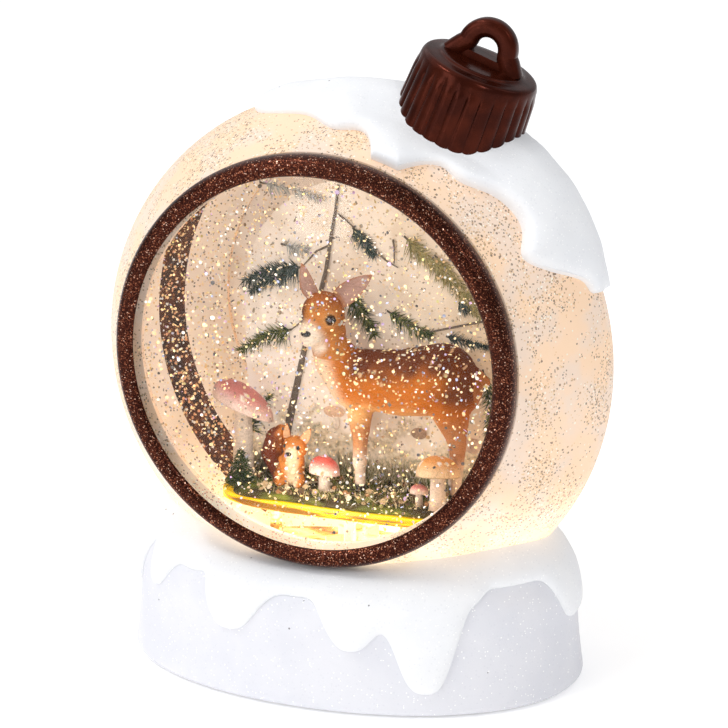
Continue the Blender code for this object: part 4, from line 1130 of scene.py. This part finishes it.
def toadstool(name, node, slot, look, spot, cap_radius, rise, top, stem, tilt, crown, rim, spots):
    """Mushroom with an uneven cap, gills below and a swelling stem."""
    x, y = spot
    brim = top - rise
    foot = GROUND_TOP - 0.3
    turn = np.linspace(0, 2 * math.pi, 72, endpoint=False)[None, :]
    climb = np.linspace(math.pi / 2, 0.0, 18)
    dome = [(cap_radius * math.cos(a), brim + rise * math.sin(a) ** 0.85) for a in climb]
    lip = [(cap_radius * 0.985, brim - 0.35), (cap_radius * 0.93, brim - 0.3)]
    inwards = np.linspace(cap_radius * 0.86, stem * 1.05, 8)
    gills = [(r, brim + 0.25 + 0.6 * (1 - r / cap_radius)) for r in inwards]
    stalk = []
    for s in np.linspace(0.06, 1, 12):
        stalk.append((stem * (0.92 + 0.42 * s ** 3 + 0.10 * math.sin(4 * s)), brim + (foot - brim) * s))
    profile = np.array(dome + lip + gills + stalk)
    radius = profile[:, :1] * (1 + 0.018 * np.sin(3 * turn + 1) + 0.012 * np.sin(7 * turn))
    start = len(dome) + len(lip)
    ridge = np.zeros((len(profile), 1))
    ridge[start:start + len(gills)] = 0.22
    height = profile[:, 1:] + ridge * np.sign(np.sin(30 * turn))
    points = np.stack([radius * np.cos(turn), radius * np.sin(turn), height + 0 * radius], -1)
    above = np.clip((points[..., 2] - foot) / (brim - foot), 0, 1.0)
    points[..., 2] -= (tilt[0] * points[..., 0] + tilt[1] * points[..., 1]) * above ** 3
    flat = points.reshape(-1, 3)
    part = np.repeat(np.arange(len(profile)), turn.shape[1])
    level = np.repeat(profile[:, 1], turn.shape[1])
    colours = np.tile((0.78, 0.66, 0.56), (len(flat), 1))
    colours = blend(colours, (0.52, 0.38, 0.28), step(-level, -foot - 3.5, -foot))
    cap = part < len(dome)
    high = step(level[cap], brim + rise * 0.05, brim + rise * 0.8)
    colours[cap] = blend(np.tile(rim, (cap.sum(), 1)), crown, high)
    under = (part >= len(dome)) & (part < start + len(gills))
    colours[under] = np.array(rim) * 0.62
    for _ in range(spots):
        a, b = DRAW.uniform(0, 2 * math.pi), DRAW.uniform(0.15, 0.85)
        at = np.array([cap_radius * b * math.cos(a), cap_radius * b * math.sin(a)])
        near = cap & (np.hypot(flat[:, 0] - at[0], flat[:, 1] - at[1]) < cap_radius * 0.09)
        colours[near] = (0.88, 0.76, 0.66)
    return make_skin(name, points + np.array([x, y, 0]), look, [node], 60, colours)


# name, CAD node, slot, spot, cap radius, rise, top, stem radius, tilt, crown, rim, spots
TOADSTOOLS = (
    ("toadstool_tall", "mushroom_tall", "pink", (-37.4, -3.0), 9.5, 7.6, 86.6, 2.9, (0.42, 0.27),
     (0.66, 0.24, 0.22), (0.84, 0.64, 0.56), 6),
    ("toadstool_red", "mushroom_red", "red", (-7.5, -9.0), 4.8, 5.6, 68.2, 1.7, (0.08, 0.2),
     (0.70, 0.115, 0.085), (0.84, 0.58, 0.50), 5),
    ("toadstool_tan", "mushroom_tan", "tan", (31.2, -12.5), 6.8, 6.4, 73.8, 2.3, (-0.05, 0.24),
     (0.78, 0.34, 0.10), (0.84, 0.60, 0.36), 9),
    ("toadstool_small", "mushroom_small", "pink", (25.0, -12.0), 2.9, 2.6, 63.7, 1.1, (0.0, 0.2),
     (0.68, 0.24, 0.20), (0.82, 0.64, 0.54), 0),
)


def ball_parts(centre, radius, colour, squash=(1, 1, 1)):
    """A squashed ball of one colour."""
    shape = bmesh.new()
    bmesh.ops.create_icosphere(shape, subdivisions=3, radius=1.0)
    points = np.array([v.co[:] for v in shape.verts]) * radius * np.array(squash) + np.array(centre)
    faces = [tuple(v.index for v in f.verts) for f in shape.faces]
    shape.free()
    return points, faces, colour


def ear_parts(base, tip, width, facing, outside, inside):
    """A cupped leaf-shaped ear, darker within."""
    base, tip, facing = Vector(base), Vector(tip), Vector(facing).normalized()
    along = (tip - base).normalized()
    side = along.cross(facing).normalized()
    front = side.cross(along).normalized()
    length = (tip - base).length
    rows, sides = 16, 20
    points, colours = [], []
    for i in range(rows):
        u = i / (rows - 1)
        leaf = math.sin(math.pi * min(1.0, 0.22 + 0.78 * u) ** 0.85) ** 0.75 if u < 1 else 0.0
        half = max(width / 2 * leaf, 0.12)
        for j in range(sides):
            turn = 2 * math.pi * j / sides
            across = half * math.cos(turn)
            deep = 0.42 * math.sin(turn) * (1 - 0.5 * u)
            cup = 0.55 * (across / (width / 2)) ** 2 * (width / 2)
            at = base + along * (length * u) + side * across + front * (deep + cup)
            points.append(tuple(at))
            lit = math.sin(turn) > 0.15 and abs(math.cos(turn)) < 0.86 and 0.1 < u < 0.9
            colours.append(inside if lit else outside)
    return np.array(points), grid_faces(rows, sides, False, True, True), np.array(colours)


SPOT_COUNT = 24


def doe(look):
    """Standing deer: soft body fused from limbs, painted from dark back to pale belly."""
    foot = GROUND_TOP + 1.2
    limbs = [
        ((3, -1.5, 92), 9.4, (16.4, -2, 92.4), 10.4),
        ((16.4, -2, 92.4), 10.4, (28.9, -2.6, 95.0), 11.3),
        ((28.9, -2.6, 95.0), 11.3, (31.5, -2.6, 93.0), 10.2),
        ((-6.2, -1.5, 97), 7.0, (0.6, -1.5, 91), 9.0),
        ((-10.4, -1.6, 106), 4.9, (-6.2, -1.5, 97), 7.0),
        ((-10.3, -2.4, 112.4), 6.7, (-9.8, -2.6, 109.8), 6.5),
        ((-10.6, -3.8, 109.0), 5.7, (-11.6, -6.0, 107.0), 4.7),
        ((-11.6, -6.0, 107.0), 4.7, (-12.3, -7.3, 105.9), 3.9),
        ((-9.4, -3.0, 106.0), 4.6, (-7.6, -2.4, 106.4), 4.6),
        ((2.4, -4.6, 88), 5.2, (3.2, -5.5, 76), 2.9),
        ((3.2, -5.5, 76), 2.6, (3.1, -5.6, 67.6), 2.1),
        ((3.1, -5.7, 67.6), 2.4, (3.1, -5.7, 65.6), 2.3),
        ((3.1, -5.6, 65.6), 1.8, (3.2, -5.5, foot), 1.7),
        ((0, 3, 88), 4.6, (-0.2, 3.5, 76), 2.7),
        ((-0.2, 3.5, 76), 2.4, (-0.3, 3.5, 66.6), 2.1),
        ((-0.3, 3.5, 66.6), 1.8, (-0.3, 3.5, foot), 1.7),
        ((31.4, -4.4, 91), 8.0, (34.2, -5.6, 80), 3.8),
        ((34.2, -5.6, 80), 3.7, (35.2, -5.6, 75), 2.7),
        ((35.2, -5.6, 75), 2.6, (34.9, -5.6, 67), 2.1),
        ((34.9, -5.6, 67), 1.9, (34.6, -5.5, foot), 1.7),
        ((30.5, 1.8, 90), 6.4, (32.0, 3.4, 77), 3.2),
        ((32.0, 3.4, 77), 3.0, (31.2, 3.5, 67), 2.0),
        ((31.2, 3.5, 67), 1.9, (30.6, 3.5, foot), 1.7),
        ((38.6, -1, 97.4), 2.4, (42.6, -1, 95.2), 1.5),
    ]
    mesh = organic(limbs, 0.5, 6)
    at = vertex_array(mesh) / MM
    x, y, z = at.T
    swell = np.array([noise.noise(Vector(p) / 5.0) for p in at])
    orange, dark, cream = (0.56, 0.145, 0.004), (0.135, 0.026, 0.003), (0.84, 0.46, 0.17)
    pale = (0.88, 0.74, 0.60)
    trunk, leg, head, tail = z > 78, z < 84, (z > 99) & (x < -2), (x > 40.5) * (z < 98.5)
    back = 100.5 + 0.16 * (x - 2)
    chest = step(-x - 0.42 * (z - 84), -3.0, 3.5) * step(z, 76, 82) * step(-z, -104, -101)
    snout = np.linalg.norm(at - np.array([-13.4, -9.6, 104.6]), axis=1)
    around_eye = -np.linalg.norm(at - np.array([-5.9, -7.4, 111.6]), axis=1)
    colours = coated(
        np.tile(orange, (len(at), 1)),
        (dark, 0.92 * step(z + 4.0 * swell, back - 10.0, back - 2.0) * step(x, -4.0, 3.0)),
        (dark, 0.8 * step(x + 4.0 * swell, 25, 36) * step(z, 84, 92)),
        ((0.52, 0.20, 0.065), step(x, 26, 33) * step(-z, -88, -80) * trunk),
        (cream, 0.8 * step(-z + 2.0 * swell, -90.0, -82.5) * trunk * step(-x, -32, -27)),
        ((0.86, 0.62, 0.42), chest * 0.95),
        ((0.55, 0.24, 0.095), step(-z, -84, -76) * leg),
        ((0.80, 0.62, 0.48), step(-z, -73, -66) * leg),
        ((0.035, 0.028, 0.025), step(-z, -60.0, -59.0) * leg),
        ((0.54, 0.19, 0.035), head * 1.0),
        ((0.34, 0.10, 0.02), step(z + swell, 113.0, 118.5) * head),
        # Painted shade on the far-left side of the face, above the nose.
        ((0.16, 0.045, 0.012), step(-x + swell, 12.8, 15.6) * step(z, 107.5, 110.0) * head),
        (pale, step(-snout, -7.8, -4.2) * head),
        (pale, step(-z, -104.6, -102.4) * step(z, 100.6, 102.2) * step(-x, 6.0, 9.5)),
        ((0.68, 0.32, 0.10), 0.6 * step(around_eye, -3.8, -2.2)),
        ((0.05, 0.02, 0.01), step(around_eye, -1.9, -1.5)),
        ((0.45, 0.16, 0.04), tail * 1.0),
    )
    for _ in range(SPOT_COUNT):
        u = DRAW.uniform(0, 1)
        sx = 2 + 37 * u
        sz = 96 + DRAW.uniform(-4, 8) + 0.14 * (sx - 2)
        near = (np.hypot(x - sx, z - sz) < DRAW.uniform(0.35, 0.6)) & (np.abs(y + 2) > 1)
        colours[near] = (0.72, 0.46, 0.25)
    paint(mesh, colours)
    piece = finish("doe", mesh, look, ["deer"], sharp=180)
    inner, outer = (0.42, 0.25, 0.20), (0.40, 0.17, 0.08)
    ears = [ear_parts((-12.6, -1.6, 117.0), (-17.4, -2.6, 127.4), 7.0, (-0.5, -1, 0.1), outer, inner)]
    ears.append(ear_parts((-5.4, -1.2, 116.6), (5.4, -1.6, 125.6), 6.8, (0.2, -1, 0.25), outer, inner))
    make_joined("doe_ears", ears, look, sharp=70)
    return piece


def red_squirrel(look):
    """Sitting squirrel with a curled tail, pale face and chest."""
    foot = GROUND_TOP + 1.6
    limbs = [
        ((-19.5, -7.4, 61.0), 4.5, (-18.2, -8.2, 66), 3.6),
        ((-17.5, -8.8, 69.8), 3.7, (-17.2, -8.8, 69.2), 3.7),
        ((-17.6, -10.2, 68.8), 2.6, (-17.8, -11.9, 68.2), 1.7),
        ((-22.3, -8.8, foot + 0.6), 2.6, (-21.6, -11.2, foot - 0.2), 1.5),
        ((-16.2, -9.0, foot + 0.6), 2.2, (-15.6, -11.4, foot - 0.2), 1.4),
        ((-21.4, -9.2, 65.4), 1.4, (-19.8, -12.0, 62.4), 1.0),
        ((-15.6, -9.6, 65.4), 1.4, (-16.8, -12.2, 62.4), 1.0),
        ((-24.4, -5.5, 59.6), 2.3, (-26.9, -5, 65.5), 3.3),
        ((-26.9, -5, 65.5), 3.3, (-25.4, -5.2, 71.0), 3.1),
        ((-25.4, -5.2, 71.0), 3.1, (-23.4, -5.6, 73.4), 2.1),
    ]
    mesh = organic(limbs, 0.3, 4)
    at = vertex_array(mesh) / MM
    x, y, z = at.T
    swell = np.array([noise.noise(Vector(p) / 2.0) for p in at])
    bib = step(-y, 8.6, 10.6) * step(-np.abs(x + 17.2), -2.6, -0.9) * step(-z, -71.5, -69.5)
    muzzle = -np.linalg.norm(at - np.array([-17.8, -12.4, 67.8]), axis=1)
    colours = coated(
        np.tile((0.60, 0.20, 0.035), (len(at), 1)),
        ((0.17, 0.035, 0.012), step(-x + 1.4 * swell, 22.6, 24.6)),
        ((0.86, 0.62, 0.40), bib),
        ((0.88, 0.70, 0.50), step(muzzle, -2.9, -1.4)),
    )
    paint(mesh, colours)
    piece = finish("red_squirrel", mesh, look, ["squirrel"], sharp=180)
    red, inner = (0.55, 0.17, 0.035), (0.75, 0.42, 0.22)
    ears = [ear_parts((-19.6, -8.4, 72.0), (-20.2, -8.4, 77.0), 3.0, (-0.3, -1, 0.1), red, inner)]
    ears.append(ear_parts((-15.0, -8.4, 71.6), (-12.2, -8.4, 76.2), 3.0, (0.3, -1, 0.1), red, inner))
    make_joined("squirrel_ears", ears, look, sharp=70)
    return piece


def faces_and_eyes():
    """Glossy eyes and noses of the deer and the squirrel, with a small catch of light."""
    ink = Look("eye_gloss", 0.06, Coat_Weight=0.8, Coat_Roughness=0.03)
    ink.set("Base Color", ink.mix(ink.noise(0.8, 1), ink.paint(), (0.010, 0.008, 0.008)))
    dark, light = (0.008, 0.006, 0.006), (0.95, 0.95, 0.95)
    parts = [
        ball_parts((-5.9, -7.4, 111.7), 1.5, dark, (1.2, 0.8, 0.7)),
        ball_parts((-6.1, -8.4, 112.25), 0.3, light),
        ball_parts((-15.4, -5.2, 111.4), 1.3, dark, (0.8, 1.0, 0.85)),
        ball_parts((-12.8, -10.5, 107.3), 1.45, dark, (1.2, 0.8, 0.7)),
        ball_parts((-17.8, -13.3, 68.7), 0.85, dark, (1.2, 0.9, 0.8)),
        ball_parts((-19.6, -11.4, 70.6), 0.72, dark, (0.9, 0.8, 1.0)),
        ball_parts((-15.3, -11.5, 70.4), 0.72, dark, (0.9, 0.8, 1.0)),
        ball_parts((-19.85, -11.65, 70.8), 0.14, light),
        ball_parts((-15.45, -11.75, 70.6), 0.14, light),
    ]
    make_joined("eyes_and_noses", parts, ink.material, sharp=180)


# ---------------------------------------------------------------- glitter in the water

FLAKE_COLOURS = (
    ((0.92, 0.88, 0.80), 17),
    ((0.85, 0.62, 0.30), 24),
    ((0.95, 0.76, 0.38), 15),
    ((0.30, 0.22, 0.13), 16),
    ((0.07, 0.06, 0.06), 13),
    ((0.45, 0.50, 0.75), 5),
    ((0.55, 0.36, 0.62), 4),
    ((0.70, 0.60, 0.20), 4),
)


def flake_solids(spots, normals, sizes, colours):
    """Thin six-sided lozenges lying across their normals."""
    spots, normals = np.asarray(spots, float), np.asarray(normals, float)
    normals = normals / (np.linalg.norm(normals, axis=1, keepdims=True) + 1e-9)
    side = np.cross(normals, DRAW.normal(size=spots.shape))
    side /= np.linalg.norm(side, axis=1, keepdims=True) + 1e-9
    up = np.cross(normals, side)
    sizes = np.asarray(sizes, float)[:, None]
    rim = [spots + sizes * (side * math.cos(t) + up * math.sin(t)) for t in np.arange(6) * math.pi / 3]
    points = np.stack(rim + [spots + normals * 0.07, spots - normals * 0.07], 1).reshape(-1, 3)
    faces = []
    for i in range(0, 8 * len(spots), 8):
        for k in range(6):
            m = (k + 1) % 6
            faces += [(i + k, i + m, i + 6), (i + m, i + k, i + 7)]
    return points, faces, np.repeat(np.asarray(colours, float), 8, 0)


def flake_palette(count, bright):
    """Random flake colours by weight; bright flakes have none of the dark ones."""
    tones = np.array([c for c, _ in FLAKE_COLOURS])
    weight = np.array([w for _, w in FLAKE_COLOURS], float)
    if bright:
        weight[3:5] = 0
    return tones[DRAW.choice(len(tones), count, p=weight / weight.sum())]


def on_surface(piece, count, upward):
    """Random spots and normals on a piece, more of them where it faces up."""
    mesh = piece.data
    corners = np.array([t.vertices[:] for t in (mesh.calc_loop_triangles() or mesh.loop_triangles)])
    at = vertex_array(mesh) / MM
    a, b, c = at[corners[:, 0]], at[corners[:, 1]], at[corners[:, 2]]
    cross = np.cross(b - a, c - a)
    area = np.linalg.norm(cross, axis=1)
    normal = cross / (area[:, None] + 1e-12)
    weight = area * (1 - upward + upward * np.clip(normal[:, 2] + 0.2, 0, 1))
    pick = DRAW.choice(len(corners), count, p=weight / weight.sum())
    u, v = DRAW.uniform(0, 1, (2, count, 1))
    over = (u + v) > 1
    u, v = np.where(over, 1 - u, u), np.where(over, 1 - v, v)
    spots = a[pick] + (b[pick] - a[pick]) * u + (c[pick] - a[pick]) * v
    return spots + normal[pick] * 0.12, normal[pick] + DRAW.normal(0, 0.3, (count, 3))


FLAKE_COUNT, WALL_CLEARANCE, EYE_CLEARANCE = 7600, 4.5, 3.4
EYE_SPOT = np.array([-6.0, -8.0, 111.6])


def glitter(settled_on):
    """Flakes that float through the water and flakes that settled on the scene."""
    spots = []
    while len(spots) < FLAKE_COUNT:
        x, z = DRAW.uniform(-72, 72), DRAW.uniform(38, 168)
        y = -34.5 + 67.5 * DRAW.uniform(0, 1) ** 1.5
        wall = drum_radius(min(abs(y), RIM_Y)) - WALL_CLEARANCE
        by_panel = 7.0 < y < 12.5
        in_ground = 50 < z < 58 and abs(x) < 49 and abs(y) < 21
        by_impeller = z < 51 and math.hypot(x, y) < 18
        if math.hypot(x, z - drum_height(y)) > wall or by_panel or in_ground or by_impeller:
            continue
        spots.append((x, y, z))
    spots = np.array(spots)
    ways = DRAW.normal(size=spots.shape)
    for piece, count, upward in settled_on:
        more, normals = on_surface(piece, count, upward)
        clear = np.linalg.norm(more - EYE_SPOT, axis=1) > EYE_CLEARANCE
        more, normals = more[clear], normals[clear]
        spots, ways = np.concatenate([spots, more]), np.concatenate([ways, normals])
    count = len(spots)
    sizes = DRAW.uniform(0.25, 0.56, count) * np.where(DRAW.uniform(0, 1, count) < 0.05, 1.5, 1.0)
    bright = DRAW.uniform(0, 1, count) < 0.30
    # The sparks glow strongly: painted glints, standing in for lamp light caught by the flakes; the
    # other flakes glow faintly.
    for name, mask, glow in (("glitter_flakes", ~bright, 0.06), ("glitter_sparks", bright, 0.85)):
        colours = flake_palette(int(mask.sum()), glow > 0.5)
        points, faces, colours = flake_solids(spots[mask], ways[mask], sizes[mask], colours)
        look = flake_look(name, glow)
        make(name, points, faces, look, sharp=10, colours=colours, merge=False)


# ---------------------------------------------------------------- studio

def area_light(name, spot, target, size, power):
    """A soft white panel aimed at a target; places and sizes in metres."""
    data = bpy.data.lights.new(name, "AREA")
    data.shape = "RECTANGLE"
    data.size, data.size_y = size
    data.energy = power
    lamp = bpy.data.objects.new(name, data)
    lamp.location = spot
    lamp.rotation_euler = (Vector(target) - Vector(spot)).to_track_quat("-Z", "Y").to_euler()
    bpy.context.scene.collection.objects.link(lamp)


def glow_light(name, spot, power, radius=8.0, colour=(1.0, 0.82, 0.58)):
    """A soft lamp inside the lantern that only its light shows; place and radius in millimetres."""
    data = bpy.data.lights.new(name, "POINT")
    data.energy = power
    data.shadow_soft_size = radius * MM
    data.color = colour
    lamp = bpy.data.objects.new(name, data)
    lamp.location = Vector(spot) * MM
    lamp.visible_camera = False
    lamp.visible_glossy = False
    lamp.visible_transmission = False
    bpy.context.scene.collection.objects.link(lamp)


CAMERA_AZIMUTH, CAMERA_ELEVATION, CAMERA_LENS, CAMERA_SHIFT = 21.11, 16.39, 159.7, (0.0090, -0.0167)


def studio():
    """Camera, soft lights, lamps inside the lantern and a pale floor."""
    azimuth, elevation = math.radians(CAMERA_AZIMUTH), math.radians(CAMERA_ELEVATION)
    level = math.cos(elevation)
    back = Vector((math.sin(azimuth) * level, -math.cos(azimuth) * level, math.sin(elevation)))
    data = bpy.data.cameras.new("camera")
    data.sensor_width = 36.0
    data.lens = CAMERA_LENS
    data.shift_x, data.shift_y = CAMERA_SHIFT
    data.clip_start, data.clip_end = 0.05, 30.0
    camera = bpy.data.objects.new("camera", data)
    camera.location = Vector((0, 0, 0.1)) + back
    camera.rotation_euler = (-back).to_track_quat("-Z", "Y").to_euler()
    bpy.context.scene.collection.objects.link(camera)
    bpy.context.scene.camera = camera
    bpy.context.scene.view_settings.view_transform = "Standard"

    world = bpy.data.worlds.new("studio")
    world.use_nodes = True
    sky = world.node_tree.nodes["Background"]
    sky.inputs[0].default_value = (0.97, 0.98, 1.0, 1.0)
    sky.inputs[1].default_value = 0.48
    bpy.context.scene.world = world

    area_light("key", (-0.75, -1.35, 0.75), (0, 0, 0.1), (0.7, 1.1), 6.2)
    area_light("overhead", (-1.2, 0.4, 2.6), (-0.3, 0.3, 0.0), (4.5, 4.5), 42.0)
    area_light("streak", (-0.66, -0.58, 1.41), (0, 0, 0.15), (0.55, 0.14), 5.0)
    area_light("side_streak", (0.96, -0.84, 0.93), (0, 0, 0.15), (0.12, 0.34), 2.8)
    area_light("edge", (0.9, 0.35, 0.9), (0, 0, 0.12), (0.35, 0.6), 0.75)
    area_light("glint", (-0.51, -1.42, 0.09), (0, 0, 0.14), (0.15, 0.14), 0.26)
    glow_light("glow_left", (-24, -6, 42), 0.022)
    glow_light("glow_right", (24, -6, 42), 0.022)
    glow_light("glow_rear", (0, 24, 48), 0.018)
    glow_light("glow_front", (-6, -27, 66), 0.016, 10, (1.0, 0.90, 0.76))
    glow_light("glow_high", (-10, -22, 140), 0.014, 12, (1.0, 0.94, 0.86))

    floor_look = Look("studio_floor", 0.9)
    pale = [(0.3, (0.965, 0.965, 0.965)), (0.7, (0.98, 0.98, 0.98))]
    floor_look.set("Base Color", floor_look.ramp(floor_look.noise(400, 2), pale))
    floor_look.glow((1.0, 1.0, 1.0), 0.25)
    mesh = bpy.data.meshes.new("studio_floor")
    half = 6.0
    square = [(-half, -half, 0), (half, -half, 0), (half, half, 0), (-half, half, 0)]
    mesh.from_pydata(square, [], [(0, 1, 2, 3)])
    mesh.materials.append(floor_look.material)
    floor = bpy.data.objects.new("studio_floor", mesh)
    bpy.context.scene.collection.objects.link(floor)


def numbered(stem, count):
    """Names with the numbers from 1 on."""
    return ["%s_%d" % (stem, n + 1) for n in range(count)]


# name, dark and light tones, (grain size, roughness, bump, stretch), shader values, kept nodes
PLAIN_STOCK = (
    ("plate_white", (0.74, 0.75, 0.79), (0.84, 0.85, 0.88), (3.0, 0.5), {},
     ["bottom_plate", "battery_door"]),
    ("white_nylon", (0.74, 0.73, 0.70), (0.88, 0.87, 0.84), (2.0, 0.45), {},
     ["impeller", "switch_knob"]),
    ("nickel", (0.34, 0.34, 0.36), (0.55, 0.55, 0.57), (1.5, 0.25, 0.02), {"Metallic": 1.0},
     ["magnet_rotor"]),
    ("plated_steel", (0.45, 0.45, 0.46), (0.68, 0.68, 0.70), (1.2, 0.3, 0.02, (0.15, 1, 1)),
     {"Metallic": 1.0}, ["motor", "contact_left", "contact_right", *numbered("plate_screw", 4)]),
    ("soft_rubber", (0.018, 0.018, 0.018), (0.05, 0.05, 0.052), (1.0, 0.85, 0.05), {},
     ["fill_plug", *numbered("foot", 4)]),
    ("black_moulding", (0.015, 0.015, 0.016), (0.045, 0.045, 0.048), (1.4, 0.5), {},
     ["battery_tray", "switch_body"]),
)


def dress(look, *names):
    """Gives kept CAD nodes their material."""
    for name in names:
        node = NODES[name]
        node.data.materials.clear()
        node.data.materials.append(look)


def build():
    """Every visible piece, then the materials of the CAD nodes that are kept."""
    studio()
    shell = shell_look()
    snow = snow_look("snow_coat", (0.89, 0.895, 0.91), (0.85, 0.86, 0.885), 0.10)
    white = snow_look("plinth_coat", (0.775, 0.775, 0.815), (0.73, 0.735, 0.785), 0.09)
    glitter_brown = ring_look()
    clear = clear_look("window_clear", (1.0, 0.995, 0.985), 0.015)
    chocolate = cap_look()
    mist = panel_look()
    lining = pale_lining_look()
    for word, side in (("front", -1), ("rear", 1)):
        body_half(word, side, [shell, lining, painted_refraction_look()])
        window_ring(word, side, glitter_brown)
        window_dome(word, side, mist if side > 0 else clear)
    top_snow(snow)
    snow_skirt(snow)
    plinth(white)
    fluted_cap(chocolate)
    hanging_loop(chocolate)

    resin = painted_look("painted_resin", 0.5, 0.5)
    fur = painted_look("painted_fur", 0.6, 0.7, (0.45, 1.0, 1.6))
    foliage = painted_look("painted_foliage", 0.6, 0.6)
    shelf_slab(acrylic_look())
    floor = forest_floor(painted_look("painted_moss", 0.75, 0.45))
    undergrowth(foliage)
    printed_trees(painted_look("printed_foliage", 0.6, 0.8, None, 0.12))
    sapling(foliage)
    stools = [toadstool(*row[:3], resin, *row[3:]) for row in TOADSTOOLS]
    deer = doe(fur)
    squirrel = red_squirrel(fur)
    faces_and_eyes()
    glitter(((deer, 380, 0.7), (floor, 420, 0.6), (squirrel, 26, 0.5), (stools[0], 22, 0.8)))

    dress(mist, "tree_panel")
    dress(post_look(), *numbered("shelf_post", 3), "tank_floor")
    dress(shell, "neck_plug")
    for name, dark, light, grain, values, nodes in PLAIN_STOCK:
        dress(plain_look(name, dark, light, *grain, **values), *nodes)
    dress(board_look(), "circuit_board")
    dress(lamp_look(), *numbered("lamp", 4))
    dress(cell_look(), *numbered("battery", 3))


build()
